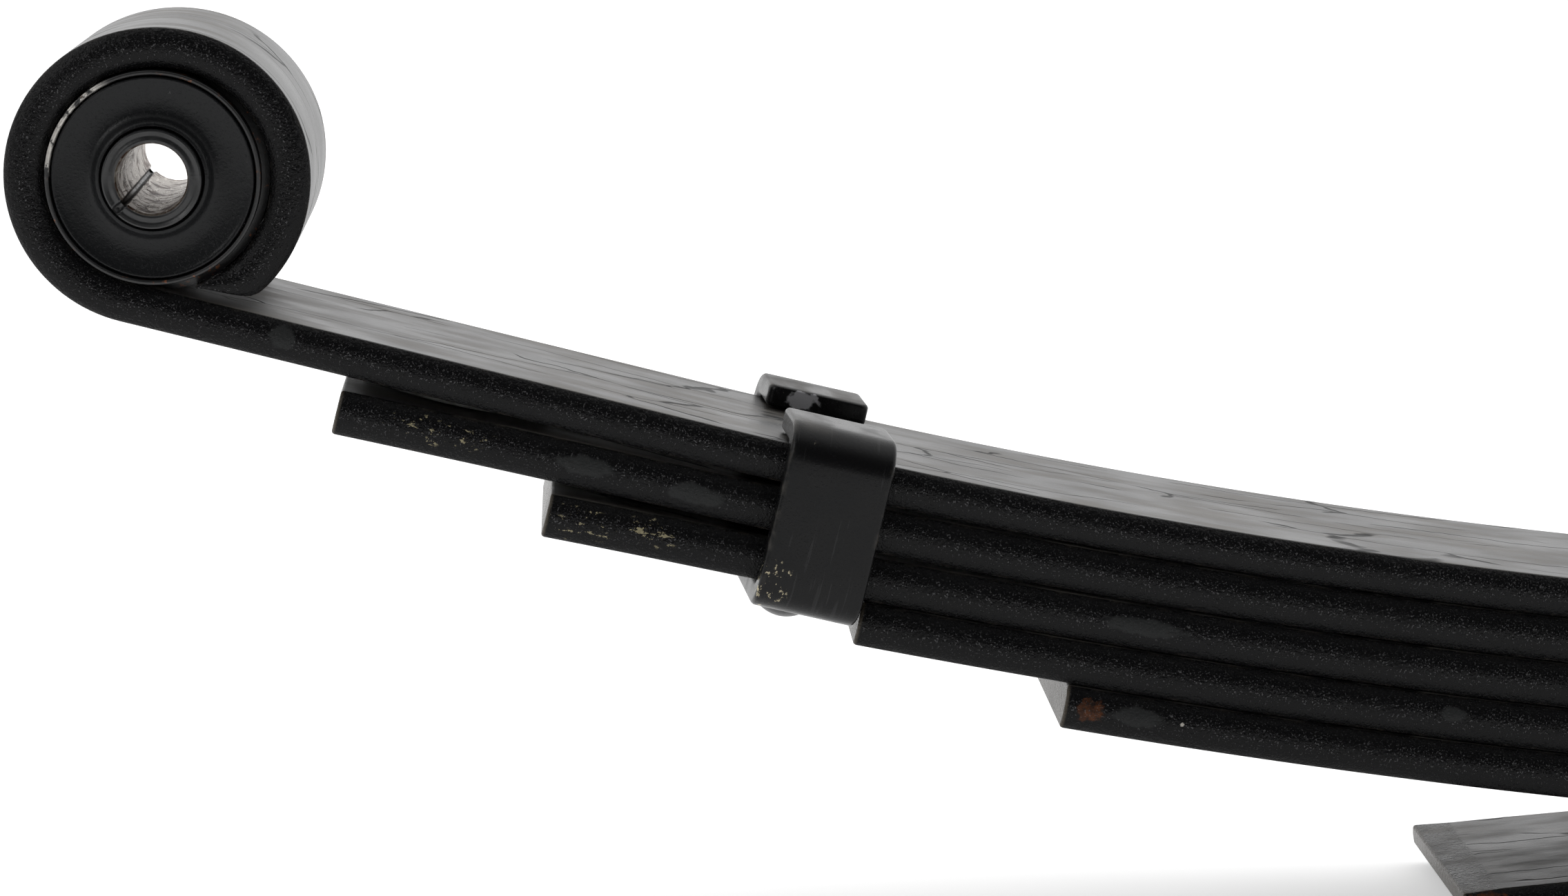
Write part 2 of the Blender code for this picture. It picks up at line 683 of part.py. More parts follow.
def rubber_section():
    """Section of the rubber: a collar round the sleeve, then a shallow dish out to the shell."""
    face = LEAF_WIDTH / 2
    collar = RUBBER_BORE + COLLAR_WIDTH
    middle = (collar + RUBBER_RADIUS) / 2
    upper = [
        (RUBBER_BORE, face + COLLAR_HEIGHT),
        (collar - COLLAR_HEIGHT / 2, face + COLLAR_HEIGHT),
        (collar, face + COLLAR_HEIGHT / 2),
        (collar + COLLAR_HEIGHT, face - DISH_DEPTH),
        (middle, face - DISH_DEPTH),
        (RUBBER_RADIUS - DISH_DEPTH, face - DISH_DEPTH / 3),
        (RUBBER_RADIUS, face - DISH_DEPTH / 2),
    ]
    return upper + [(radius, -height) for radius, height in reversed(upper)]


def make_bushing(end_name, end):
    name = end_name + "_bushing"
    at_eye = on_eye(end)
    shell = turned(
        name + "_shell",
        ring(LEAF_WIDTH / 2 + SHELL_PROUD, SHELL_RADIUS, SHELL_BORE, SHELL_WALL / 4),
        steps=SHELL_STEPS,
        closed=True,
    )
    place(shell, at_eye, SHELL_STEEL)
    place(turned(name + "_rubber", rubber_section(), closed=True), at_eye, BUSHING_RUBBER)
    half_sleeve = LEAF_WIDTH / 2 + SLEEVE_PROUD
    sleeve = turned(
        name + "_sleeve",
        ring(half_sleeve, SLEEVE_RADIUS, SLEEVE_BORE_RADIUS, SLEEVE_CHAMFER),
        closed=True,
    )
    place(sleeve, at_eye, SLEEVE_STEEL)
    low = (SLEEVE_BORE_RADIUS / 2, -SEAM_WIDTH / 2, -half_sleeve - OVERSHOOT)
    high = (SLEEVE_RADIUS + OVERSHOOT, SEAM_WIDTH / 2, half_sleeve + OVERSHOOT)
    turn = Matrix.Rotation(-SEAM_ANGLE, 4, "Z")
    cut(sleeve, block(name + "_seam", low, high, at_eye @ turn))


for end_name, end_side in ENDS:
    make_bushing(end_name, end_side)
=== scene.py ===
"""Finished look of a truck leaf spring: painted leaves, rebound clips, tip pads, bushings and centre bolt.

The leaves are rolled bars with swelling sides, so each is one section carried along the curve that the
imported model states. X runs along the spring, Y across it and Z up, in metres.
"""

import json
import math

import bpy
import numpy as np
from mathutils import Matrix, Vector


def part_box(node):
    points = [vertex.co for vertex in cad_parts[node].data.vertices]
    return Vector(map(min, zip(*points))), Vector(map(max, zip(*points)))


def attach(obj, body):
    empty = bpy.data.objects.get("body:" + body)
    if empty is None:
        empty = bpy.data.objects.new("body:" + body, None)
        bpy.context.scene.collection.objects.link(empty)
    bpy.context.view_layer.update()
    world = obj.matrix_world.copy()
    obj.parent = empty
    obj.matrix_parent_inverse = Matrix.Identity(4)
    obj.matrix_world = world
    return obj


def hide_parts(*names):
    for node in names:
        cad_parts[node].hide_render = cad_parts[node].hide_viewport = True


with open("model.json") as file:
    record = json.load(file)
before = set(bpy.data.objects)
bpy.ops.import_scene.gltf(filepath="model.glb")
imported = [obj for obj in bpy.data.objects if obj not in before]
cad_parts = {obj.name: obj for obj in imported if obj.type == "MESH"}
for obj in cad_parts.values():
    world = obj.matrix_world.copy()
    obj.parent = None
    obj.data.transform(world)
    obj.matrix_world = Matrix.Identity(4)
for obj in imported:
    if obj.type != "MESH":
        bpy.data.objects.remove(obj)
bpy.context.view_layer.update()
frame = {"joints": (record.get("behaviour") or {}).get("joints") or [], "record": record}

# Sizes that the frame doesn't state, in metres (angles in radians).

# curve of the spring
SEAT_HALF = 0.040  # half the length of the flat clamp seat
RISE_ANGLE = math.radians(14.25)  # slope of the main leaf's straight end
OVERLOAD_RADIUS = 2.0
LIFT_START = 0.190  # where the pads begin to hold the leaves apart
SECOND_PAD_HEAD = 0.0015
THIRD_PAD_HEAD = 0.0010
GAP = 0.0003  # between pieces that touch

# rolled bar
SIDE_SWELL = 0.21  # of the thickness, from the corners to the middle of the side
CORNER_SHARE = 0.08  # radius of a corner, of the thickness
CORNER_POINTS = 5
SIDE_POINTS = 15
EDGE_SUPPORT = 0.0004
STATION = 0.004
END_CORNER = 0.0008  # rounding of a cut end, seen from above
END_EDGE = 0.0006  # rounding of a cut end, seen from the side
TIP_CHAMFER_LENGTH = 0.008
TIP_CHAMFER_HEIGHT = 0.005

# roll of the eye
OPENING = 0.0016
OPENING_START = math.radians(150)
OPENING_END = math.radians(250)
SCARF_HEIGHT = 0.0026
SCARF_EDGE = 0.0004
SCARF_BLEND = 0.0013
ROLL_STATION = math.radians(3)
ROLL_THINNING = 0.00015  # of the bar, where it is stretched round the roll

# clips and rivets
CLIP_WIDTH = 0.0220
CLIP_THICKNESS = 0.0048
CLIP_CLEARANCE = 0.0005
CLIP_TAB = 0.018
CLIP_BEND = 0.003  # inside of each bend
CLIP_TO_LEAF = 0.0026
CLIP_EDGE = 0.0010
CLIP_SKEW = 0.068  # how far a clip runs towards its eye, per distance across the spring
TAB_CORNER = 0.0018
TAB_EDGE = 0.0005  # rounding of a tab's end, seen from the side
CLIP_LOWER_BEND = 0.1215  # along the strap, from the end of its far tab to the near arm's lower bend
RIVET_RADIUS = 0.00475
RIVET_HEAD = (0.0078, 0.0062)  # radius and height
RIVET_SINK = (0.0072, 0.0028)

# tip pads
PAD_RADIUS = 0.020
PAD_STEM = 0.006

# bushings
SHELL_WALL = 0.0010
SHELL_PROUD = 0.0003
SLEEVE_BORE = 0.00715
SLEEVE_WALL = 0.0030
SLEEVE_PROUD = 0.0030
SEAM_ANGLE = math.radians(220.6)
SEAM_HALF = 0.0006
SEAM_DEPTH = 0.0011
SEAM_NOTCH = 0.0007  # depth of the seam in the end faces
COLLAR_WIDTH = 0.0022
COLLAR_HEIGHT = 0.0016
DISH = 0.0012

# centre bolt and nut
BOLT_RADIUS = 0.00476
BOLT_HEAD = (0.0079, 0.0060)
BOLT_OVERHANG = 0.004
NUT_FLATS = 0.0143
NUT_HEIGHT = 0.0084
THREAD_PITCH = 0.00106
THREAD_DEPTH = 0.00055

AXIS_RADIUS = 0.0002  # at which the end of a turned piece is closed

# looks
PAINT_BLACK = (0.0032, 0.0032, 0.0035, 1)
MARK_DEPTH = 0.02  # below the main leaf's top, where the marks' distances from the eye are taken
MARK_INSET = 0.0005  # from the outermost point of a side to a mark's centre

# studio
FLOOR_HALF = 30.0
FLOOR_GLOW = 0.40
LAMP_SIZE = (0.7, 1.0)
LAMP_POWER = 7.0
CAMERA_LENS = 110.14  # millimetres, on a 36 mm wide sensor
CAMERA_PLACE = (0.0865, -1.0063, 0.1004)  # from the front eye
CAMERA_DOWN = 9.133  # degrees
CAMERA_RIGHT = 2.455  # degrees, from looking along +Y


# Where things are, from the frame.

mounts = {mount["name"]: mount["pos_m"] for mount in frame["record"]["mounts"]}
hinges = {joint["name"]: joint["pos_m"] for joint in frame["joints"]}
SEAT_Z = mounts["clamp_plate_seat"][2]
EYE_X, _, EYE_Z = hinges["rear_sleeve_twist"]
BAR_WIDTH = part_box("second_leaf")[1].y * 2
EYE_BORE = (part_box("rear_bushing_shell")[1].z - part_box("rear_bushing_shell")[0].z) / 2 + GAP

seat_depths = {name: SEAT_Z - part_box(name)[0].z for name in ("main_leaf", "second_leaf", "third_leaf")}
MAIN_THICKNESS = seat_depths["main_leaf"]
BAR_THICKNESS = seat_depths["second_leaf"] - MAIN_THICKNESS - GAP
OVERLOAD_TOP = MAIN_THICKNESS + 4 * BAR_THICKNESS + 5 * GAP

# The seat, the arc and the straight end add up to the eye's place, which gives the arc's radius.
rise_sin, rise_cos = math.sin(RISE_ANGLE), math.cos(RISE_ANGLE)
lean = [[rise_sin, rise_cos], [1 - rise_cos, rise_sin]]
reach = [EYE_X - SEAT_HALF + EYE_BORE * rise_sin, EYE_Z - SEAT_Z - EYE_BORE * rise_cos]
CAMBER_RADIUS, STRAIGHT = np.linalg.solve(lean, reach)
ARC_END = SEAT_HALF + CAMBER_RADIUS * RISE_ANGLE
EYE_TANGENT = ARC_END + STRAIGHT


def slope_at(distance):
    return np.clip(np.abs(distance) - SEAT_HALF, 0.0, ARC_END - SEAT_HALF) / CAMBER_RADIUS


def down_at(distance):
    """Unit vectors in XZ, square to the line and down into the pack."""
    slope = slope_at(distance)
    return np.stack([np.sign(distance) * np.sin(slope), -np.cos(slope)], -1)


def line_at(distance):
    """Points in XZ of the main leaf's top face: a flat seat, then an arc, then a straight run to the eye."""
    run = np.abs(distance)
    slope = slope_at(run)
    beyond = np.maximum(run - ARC_END, 0.0)
    x = np.minimum(run, SEAT_HALF) + CAMBER_RADIUS * np.sin(slope) + beyond * np.cos(slope)
    z = SEAT_Z + CAMBER_RADIUS * (1 - np.cos(slope)) + beyond * np.sin(slope)
    return np.stack([np.sign(distance) * x, z], -1)


def distance_of(x, depth):
    """Distance along the line at which a face of that depth, a function of the distance, reaches x."""
    table = np.linspace(SEAT_HALF, EYE_TANGENT, 4001)
    places = line_at(table) + depth(table)[:, None] * down_at(table)
    return float(np.interp(x, places[:, 0], table))


def pad_place(node):
    low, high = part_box(node)
    return distance_of((low.x + high.x) / 2, lambda run: MAIN_THICKNESS + 0 * run)


SECOND_PAD = pad_place("rear_second_pad")
THIRD_PAD = pad_place("rear_third_pad")


def lifted(distance, pad, head):
    """Gap over a leaf that its pad holds down: it grows as the cube of the distance."""
    run = np.maximum(np.abs(distance) - LIFT_START, 0.0) / (pad - LIFT_START)
    return GAP + (head + 2 * GAP) * run**3


def second_top(distance):
    return MAIN_THICKNESS + lifted(distance, SECOND_PAD, SECOND_PAD_HEAD)


def third_top(distance):
    return second_top(distance) + BAR_THICKNESS + lifted(distance, THIRD_PAD, THIRD_PAD_HEAD)


def fourth_top(distance):
    return third_top(distance) + BAR_THICKNESS + GAP


def fifth_top(distance):
    return fourth_top(distance) + BAR_THICKNESS + GAP


def tip_of(node, top):
    return distance_of(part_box(node)[1].x, lambda run: top(run) + BAR_THICKNESS)


FOURTH_TIP = tip_of("fourth_leaf", fourth_top)
CLIP_PLACE = FOURTH_TIP + CLIP_TO_LEAF + CLIP_WIDTH / 2


# Meshes.


def skin(name, rings, attributes=None, closed=False):
    """A closed surface through rings of points: (stations, points around, xyz). Quads join neighbouring
    rings; the ends get a flat cap each, or with `closed` the last ring joins the first. Faces look outward,
    which the sign of the volume tells."""
    stations, around, _ = rings.shape
    index = np.arange(stations * around).reshape(stations, around)
    ahead = np.roll(index, -1, axis=1)
    if closed:
        quads = np.stack([index, ahead, np.roll(ahead, -1, axis=0), np.roll(index, -1, axis=0)], -1)
    else:
        quads = np.stack([index[:-1], ahead[:-1], ahead[1:], index[1:]], -1)
    quads = quads.reshape(-1, 4)
    points = rings.reshape(-1, 3)
    a, b, c, d = (points[quads[:, corner]] - points.mean(0) for corner in range(4))
    volume = np.einsum("ij,ij->i", a, np.cross(b, c) + np.cross(c, d)).sum()
    caps = [] if closed else [index[0][::-1], index[-1]]
    if volume < 0:
        quads = quads[:, ::-1]
        caps = [cap[::-1] for cap in caps]
    corners = np.concatenate([quads.ravel(), *caps])
    sizes = np.concatenate([np.full(len(quads), 4), np.full(len(caps), around)]).astype(int)
    mesh = bpy.data.meshes.new(name)
    mesh.vertices.add(len(points))
    mesh.vertices.foreach_set("co", points.ravel())
    mesh.loops.add(len(corners))
    mesh.loops.foreach_set("vertex_index", corners)
    mesh.polygons.add(len(sizes))
    mesh.polygons.foreach_set("loop_start", np.concatenate([[0], np.cumsum(sizes)[:-1]]))
    for label, values in (attributes or {}).items():
        layer = mesh.attributes.new(label, "FLOAT_VECTOR", "POINT")
        layer.data.foreach_set("vector", values.ravel())
    mesh.update(calc_edges=True)
    mesh.validate()
    mesh.shade_smooth()
    mesh.set_sharp_from_angle(angle=math.radians(50))
    piece = bpy.data.objects.new(name, mesh)
    bpy.context.scene.collection.objects.link(piece)
    return piece


def bar_section(width, thickness):
    """Section of a rolled bar at each station, as (across, up) arrays of (stations, points). Its top and
    bottom are flat. Each side is one shallow arc, whose radius follows from its swell, with a small round at
    its ends."""
    width, thickness = width[:, None], thickness[:, None]
    half, swell, corner = thickness / 2, SIDE_SWELL * thickness, CORNER_SHARE * thickness
    radius = (half**2 + swell**2) / (2 * swell)
    centre = width / 2 - radius
    corner_centre = centre + np.sqrt((radius - corner) ** 2 - (half - corner) ** 2)
    bend = np.arctan2(half - corner, corner_centre - centre)
    turn = math.pi / 2 + (bend - math.pi / 2) * np.linspace(0, 1, CORNER_POINTS)
    corner_across = corner_centre + corner * np.cos(turn)
    corner_up = half - corner + corner * np.sin(turn)
    sweep = bend * np.linspace(1, -1, SIDE_POINTS)[1:-1]
    across = [corner_centre - EDGE_SUPPORT, corner_across, centre + radius * np.cos(sweep)]
    across = np.concatenate([*across, corner_across[:, ::-1], corner_centre - EDGE_SUPPORT], 1)
    up = np.concatenate([half, corner_up, radius * np.sin(sweep), -corner_up[:, ::-1], -half], 1)
    return np.concatenate([across, -across[:, ::-1]], 1), np.concatenate([up, up[:, ::-1]], 1)


def bar(name, middle, down, width, thickness, along):
    """A bar: its section carried along the XZ points of its middle, with its thickness along `down`.
    The attribute `bar` keeps each point's place in the straight bar: along, across and up."""
    across, up = bar_section(width, thickness)
    x = middle[:, :1] - up * down[:, :1]
    z = middle[:, 1:] - up * down[:, 1:]
    rings = np.stack([x, across, z], -1)
    straight = np.stack([np.broadcast_to(along[:, None], across.shape), across, up], -1)
    return skin(name, rings, {"bar": straight})


def cut_end(tip):
    """Distances and insets of the rounded end of a bar: a quarter of an ellipse from the side to the end."""
    turn = np.linspace(0, math.pi / 2, 6)
    return tip - END_CORNER + END_CORNER * np.sin(turn), 1 - np.cos(turn)


def leaf_stations(tip):
    """Distances from tip to tip, and how far the rounded ends pull in there, from 0 to 1."""
    end, inset = cut_end(tip)
    count = round(2 * end[0] / STATION)
    middle = np.linspace(-end[0], end[0], count + 1)[1:-1]
    distance = np.concatenate([-end[::-1], middle, end])
    return distance, np.concatenate([inset[::-1], np.zeros(count - 1), inset])


def make_leaf(node, top):
    tip = tip_of(node, top)
    distance, inset = leaf_stations(tip)
    thickness = BAR_THICKNESS - 2 * END_EDGE * inset
    down = down_at(distance)
    middle = line_at(distance) + (top(distance) + BAR_THICKNESS / 2)[:, None] * down
    piece = bar(node + "_bar", middle, down, BAR_WIDTH - 2 * END_CORNER * inset, thickness, distance)
    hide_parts(node)
    return piece


def overload_tip():
    past_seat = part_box("overload_leaf")[1].x - SEAT_HALF
    return SEAT_HALF + OVERLOAD_RADIUS * math.asin(past_seat / OVERLOAD_RADIUS)


def make_overload():
    """The overload leaf bends down from the seat on its own arc, and its tips are thinned from below."""
    tip = overload_tip()
    distance, inset = leaf_stations(tip)
    run = np.abs(distance)
    slope = np.maximum(run - SEAT_HALF, 0.0) / OVERLOAD_RADIUS
    thinned = np.clip((run - tip + TIP_CHAMFER_LENGTH) / TIP_CHAMFER_LENGTH, 0.0, 1.0)
    thickness = BAR_THICKNESS - TIP_CHAMFER_HEIGHT * thinned
    x = np.minimum(run, SEAT_HALF) + OVERLOAD_RADIUS * np.sin(slope)
    z = SEAT_Z - OVERLOAD_TOP - OVERLOAD_RADIUS * (1 - np.cos(slope))
    top_face = np.stack([np.sign(distance) * x, z], -1)
    down = np.stack([-np.sign(distance) * np.sin(slope), -np.cos(slope)], -1)
    middle = top_face + (thickness / 2)[:, None] * down
    rounded = thickness - 2 * END_EDGE * inset
    piece = bar("overload_leaf_bar", middle, down, BAR_WIDTH - 2 * END_CORNER * inset, rounded, distance)
    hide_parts("overload_leaf")
    return piece


def roll_inner(angle):
    """Inner radius of the roll at an angle from where the leaf meets it: the roll opens on its way round."""
    run = np.clip((angle - OPENING_START) / (OPENING_END - OPENING_START), 0.0, 1.0)
    return EYE_BORE + OPENING * run**2 * (3 - 2 * run)


def roll_outer(angle):
    """Outer radius of the roll: a slope cut near its free end takes its outer side away."""
    inner = roll_inner(angle)
    slope_cut = (EYE_BORE - SCARF_HEIGHT) / np.maximum(np.cos(angle), 1e-3)
    beyond = np.where(angle > 1.5 * math.pi, slope_cut, 1.0)
    outer = inner + MAIN_THICKNESS - ROLL_THINNING * np.clip(angle, 0.0, 1.0)
    outer = -SCARF_BLEND * np.logaddexp(-outer / SCARF_BLEND, -beyond / SCARF_BLEND)
    return np.maximum(outer, inner + SCARF_EDGE)


def make_main_leaf():
    """The main leaf: from the free end of one roll, round it, along the line and round the other roll."""
    free_end = 2 * math.pi - math.acos((EYE_BORE - SCARF_HEIGHT) / (EYE_BORE + OPENING))
    angle = np.linspace(free_end, 0.0, round(free_end / ROLL_STATION) + 1)
    inner, outer = roll_inner(angle), roll_outer(angle)
    facing = RISE_ANGLE - math.pi / 2 + angle
    radial = np.stack([np.cos(facing), np.sin(facing)], -1)
    centre = np.array([EYE_X, EYE_Z])
    roll_middle = centre + ((inner + outer) / 2)[:, None] * radial
    roll_along = EYE_TANGENT + angle * (EYE_BORE + MAIN_THICKNESS / 2)
    # the rear half, from the free end to the seat
    count = round(EYE_TANGENT / STATION)
    run = np.linspace(EYE_TANGENT, 0.0, count + 1)[1:]
    flat_middle = line_at(run) + MAIN_THICKNESS / 2 * down_at(run)
    flat_middle[-1, 0] = 0.0
    middle = np.concatenate([roll_middle, flat_middle])
    down = np.concatenate([radial, down_at(run)])
    down[-1] = (0.0, -1.0)
    thickness = np.concatenate([outer - inner, np.full(count, MAIN_THICKNESS)])
    along = np.concatenate([roll_along, run])
    flip = np.array([-1.0, 1.0])
    middle = np.concatenate([middle, (middle[:-1] * flip)[::-1]])
    down = np.concatenate([down, (down[:-1] * flip)[::-1]])
    thickness = np.concatenate([thickness, thickness[:-1][::-1]])
    along = np.concatenate([along, -along[:-1][::-1]])
    piece = bar("main_leaf_bar", middle, down, np.full(len(along), BAR_WIDTH), thickness, along)
    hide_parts("main_leaf")
    return piece


# Axes of a piece: its origin and three unit vectors, as rows.


def leaf_axes(end, distance, depth, tilt=0.0):
    """On the spring: the axes run along the leaf, across it and square out of its face, at a depth."""
    point = line_at(np.array([distance]))[0] + depth * down_at(np.array([distance]))[0]
    slope = slope_at(np.array([distance]))[0] - tilt
    origin = np.array([end * point[0], 0.0, point[1]])
    along = np.array([math.cos(slope), 0.0, end * math.sin(slope)])
    out = np.array([-end * math.sin(slope), 0.0, math.cos(slope)])
    return origin, np.stack([along, [0.0, 1.0, 0.0], out])


def eye_axes(end):
    """At an eye: in the plane of the roll, and along the bushing."""
    return np.array([end * EYE_X, 0.0, EYE_Z]), np.array([[1.0, 0, 0], [0, 0, 1.0], [0, 1.0, 0]])


def revolve(name, profile, axes, around=96, closed=False, shape=None):
    """A profile of (radius, height) turned about the third axis. `shape` may change the radius and height of
    each point of the grid, given the angle about that axis, as in a seam, a hexagon or a thread."""
    origin, frame_axes = axes
    profile = np.array(profile, float)
    angle = np.linspace(0, 2 * math.pi, around, endpoint=False)[None, :]
    radius = profile[:, :1] + 0 * angle
    height = profile[:, 1:] + 0 * angle
    if shape:
        radius, height = shape(radius, height, angle)
    local = np.stack([radius * np.cos(angle), radius * np.sin(angle), height], -1)
    return skin(name, origin + local @ frame_axes, closed=closed)


def mirrored(half):
    """A profile that is closed by its mirror image below the middle."""
    return half + [(radius, -height) for radius, height in half[::-1] if height]


def rounded(corners, radii, steps=5):
    """A profile whose corners are rounded: each corner is replaced by a short quadratic curve that starts
    and ends at the given distance from it."""
    corners = [np.array(corner, float) for corner in corners]
    points = []
    share = np.linspace(0, 1, steps)[:, None]
    for index, (corner, radius) in enumerate(zip(corners, radii)):
        if not radius:
            points.append(corner[None])
            continue
        before = corners[index - 1] - corner
        after = corners[(index + 1) % len(corners)] - corner
        start = corner + before / np.linalg.norm(before) * radius
        end = corner + after / np.linalg.norm(after) * radius
        points.append((1 - share) ** 2 * start + 2 * share * (1 - share) * corner + share**2 * end)
    return np.concatenate(points)


# Clips, rivets and pads.


def strap_path(side, tab, web, tab_end, bend):
    """Middle line of a clip in (across, up), from tab to tab: straight runs joined by quarter circles."""
    turn = np.linspace(0, math.pi / 2, 10)
    upper = np.stack([side - bend + bend * np.sin(turn), tab - bend + bend * np.cos(turn)], -1)
    lower = np.stack([side - bend + bend * np.cos(turn), web + bend - bend * np.sin(turn)], -1)
    tab_run = np.stack([np.linspace(tab_end, side - bend, 6)[:-1], np.full(5, tab)], -1)
    arm_run = np.stack([np.full(7, side), np.linspace(tab - bend, web + bend, 9)[1:-1]], -1)
    web_run = np.stack([np.linspace(side - bend, 0.0, 8)[1:-1], np.full(6, web)], -1)
    half = np.concatenate([tab_run, upper, arm_run, lower, web_run])
    return np.concatenate([half, [[0.0, web]], (half * [-1, 1])[::-1]])


def make_clip(end_name, end):
    """A flat strap with rounded edges, bent up both sides of the pack and over the main leaf."""
    name = end_name + "_clip"
    half = CLIP_THICKNESS / 2
    web = -float(third_top(CLIP_PLACE + CLIP_WIDTH / 2)) - BAR_THICKNESS - GAP - half
    side = BAR_WIDTH / 2 + CLIP_CLEARANCE + half
    tab_end = BAR_WIDTH / 2 + CLIP_CLEARANCE - CLIP_TAB
    path = strap_path(side, CLIP_CLEARANCE + half, web, tab_end, CLIP_BEND + half)
    turn = np.linspace(0, math.pi / 2, 6)
    ends = np.stack([tab_end + TAB_CORNER * (1 - np.sin(turn)), np.full(6, path[0, 1])], -1)[::-1]
    inset = (1 - np.cos(turn))[::-1]
    path = np.concatenate([ends, path[1:-1], (ends * [-1, 1])[::-1]])
    inset = np.concatenate([inset, np.zeros(len(path) - 12), inset[::-1]])
    step = np.gradient(path, axis=0)
    step /= np.linalg.norm(step, axis=1, keepdims=True)
    out = np.stack([-step[:, 1], step[:, 0]], -1)
    run = np.concatenate([[0], np.cumsum(np.linalg.norm(np.diff(path, axis=0), axis=1))])
    width = (CLIP_WIDTH - 2 * TAB_CORNER * inset)[:, None]
    thick = (CLIP_THICKNESS - 2 * TAB_EDGE * inset)[:, None]
    quarter = np.linspace(0, math.pi / 2, 6)
    along, up = [], []
    for corner in range(4):
        angle = quarter + corner * math.pi / 2
        along.append((1 if corner in (0, 3) else -1) * (width / 2 - CLIP_EDGE) + CLIP_EDGE * np.cos(angle))
        up.append((1 if corner in (0, 1) else -1) * (thick / 2 - CLIP_EDGE) + CLIP_EDGE * np.sin(angle))
    along, up = np.concatenate(along, 1), np.concatenate(up, 1)
    across = path[:, :1] + up * out[:, :1]
    height = path[:, 1:] + up * out[:, 1:]
    origin, axes = leaf_axes(end, CLIP_PLACE, 0.0)
    rings = origin + np.stack([along + end * CLIP_SKEW * across, across, height], -1) @ axes
    straight = np.stack([np.broadcast_to(run[:, None], along.shape), along, up], -1)
    piece = skin(name + "_strap", rings, {"bar": straight})
    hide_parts(name)
    return piece


def make_rivet(end_name, end):
    """A rivet with a flush head in the third leaf and a round head under the clip."""
    name = end_name + "_clip_rivet"
    top = -float(third_top(CLIP_PLACE))
    face = -float(third_top(CLIP_PLACE + CLIP_WIDTH / 2)) - BAR_THICKNESS - CLIP_THICKNESS - 2 * GAP
    radius, height = RIVET_HEAD
    sphere = (radius**2 + height**2) / (2 * height)
    angle = 2 * math.atan2(height, radius) * np.linspace(1, 0.02, 18)
    dome = np.stack([sphere * np.sin(angle), face - height + sphere - sphere * np.cos(angle)], -1)
    sink_radius, sink_depth = RIVET_SINK
    shank = [
        (AXIS_RADIUS, top - GAP),
        (sink_radius, top - GAP),
        (RIVET_RADIUS, top - sink_depth - GAP),
        (RIVET_RADIUS, face),
    ]
    piece = revolve(name + "_round_head", np.concatenate([shank, dome]), leaf_axes(end, CLIP_PLACE, 0.0), 64)
    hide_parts(name)
    return piece


def make_pad(name, end, place, top, head):
    """A disc with a rounded rim on a stem that sits in a hole of the leaf."""
    tilt = math.atan((float(top(place + PAD_RADIUS)) - float(top(place - PAD_RADIUS))) / (2 * PAD_RADIUS))
    stem = BAR_THICKNESS - GAP
    corners = [
        (AXIS_RADIUS, GAP + head),
        (PAD_RADIUS, GAP + head),
        (PAD_RADIUS, GAP),
        (PAD_STEM, GAP),
        (PAD_STEM, -stem),
        (AXIS_RADIUS, -stem),
    ]
    profile = rounded(corners, [0, head / 2, head / 5, 0, 0.0008, 0])
    piece = revolve(name + "_disc", profile, leaf_axes(end, place, float(top(place)), tilt), 128)
    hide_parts(name)
    return piece


# Bushings.


def make_shell(name, end):
    """A thin tube with rolled rims. Behind its rims it follows the inside of the roll, which opens towards
    its free end, so no light gets past it."""
    bore = EYE_BORE - GAP - SHELL_WALL
    face = BAR_WIDTH / 2 + SHELL_PROUD
    outer = EYE_BORE - GAP
    rim = SHELL_WALL * 0.35
    half = [
        (bore, 0.0),
        (bore, face - 2 * rim),
        (bore + 0.3 * rim, face - 0.4 * rim),
        (bore + rim, face),
        (outer - rim, face),
        (outer - 0.3 * rim, face - 0.3 * rim),
        (outer, face - rim),
        (outer, face - 0.0045),
        (outer, face - 0.0050),
        (outer, 0.0),
    ]

    def fill(radius, height, angle):
        facing = angle if end > 0 else math.pi - angle
        turned = np.mod(facing - RISE_ANGLE + math.pi / 2, 2 * math.pi)
        limit = np.where(turned > 1.5 * math.pi, EYE_BORE / np.maximum(np.cos(turned), 0.5), 1.0)
        room = np.minimum(roll_inner(turned), limit) - GAP
        behind = (np.abs(height) < face - 0.0048) & (radius > outer - 1e-6)
        return np.where(behind, room, radius), height

    piece = revolve(name + "_shell_tube", mirrored(half), eye_axes(end), 240, True, fill)
    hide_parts(name + "_shell")
    return piece


def make_rubber(name, end):
    """A disc on each side with a collar round the sleeve, a shallow dish and a fine line at the rim."""
    face = BAR_WIDTH / 2
    outer = EYE_BORE - 2 * GAP - SHELL_WALL
    bore = SLEEVE_BORE + SLEEVE_WALL + GAP
    collar = bore + COLLAR_WIDTH
    half = [
        (bore, 0.0),
        (bore, face + COLLAR_HEIGHT - 0.0004),
        (bore + 0.0003, face + COLLAR_HEIGHT),
        (collar - COLLAR_HEIGHT * 1.0, face + COLLAR_HEIGHT),
        (collar - COLLAR_HEIGHT * 0.7, face + COLLAR_HEIGHT * 0.75),
        (collar - COLLAR_HEIGHT * 0.4, face + COLLAR_HEIGHT * 0.1),
        (collar, face - DISH * 0.75),
        (collar + COLLAR_HEIGHT * 0.7, face - DISH),
        ((collar + outer) / 2, face - DISH * 0.95),
        (outer - 0.0016, face - DISH * 0.45),
        (outer - 0.0009, face - DISH * 0.3),
        (outer - 0.0005, face - DISH * 0.05),
        (outer - 0.0002, face - DISH * 0.1),
        (outer, face - DISH * 0.4),
    ]
    piece = revolve(name + "_rubber_disc", mirrored(half), eye_axes(end), 160, True)
    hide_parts(name + "_rubber")
    return piece


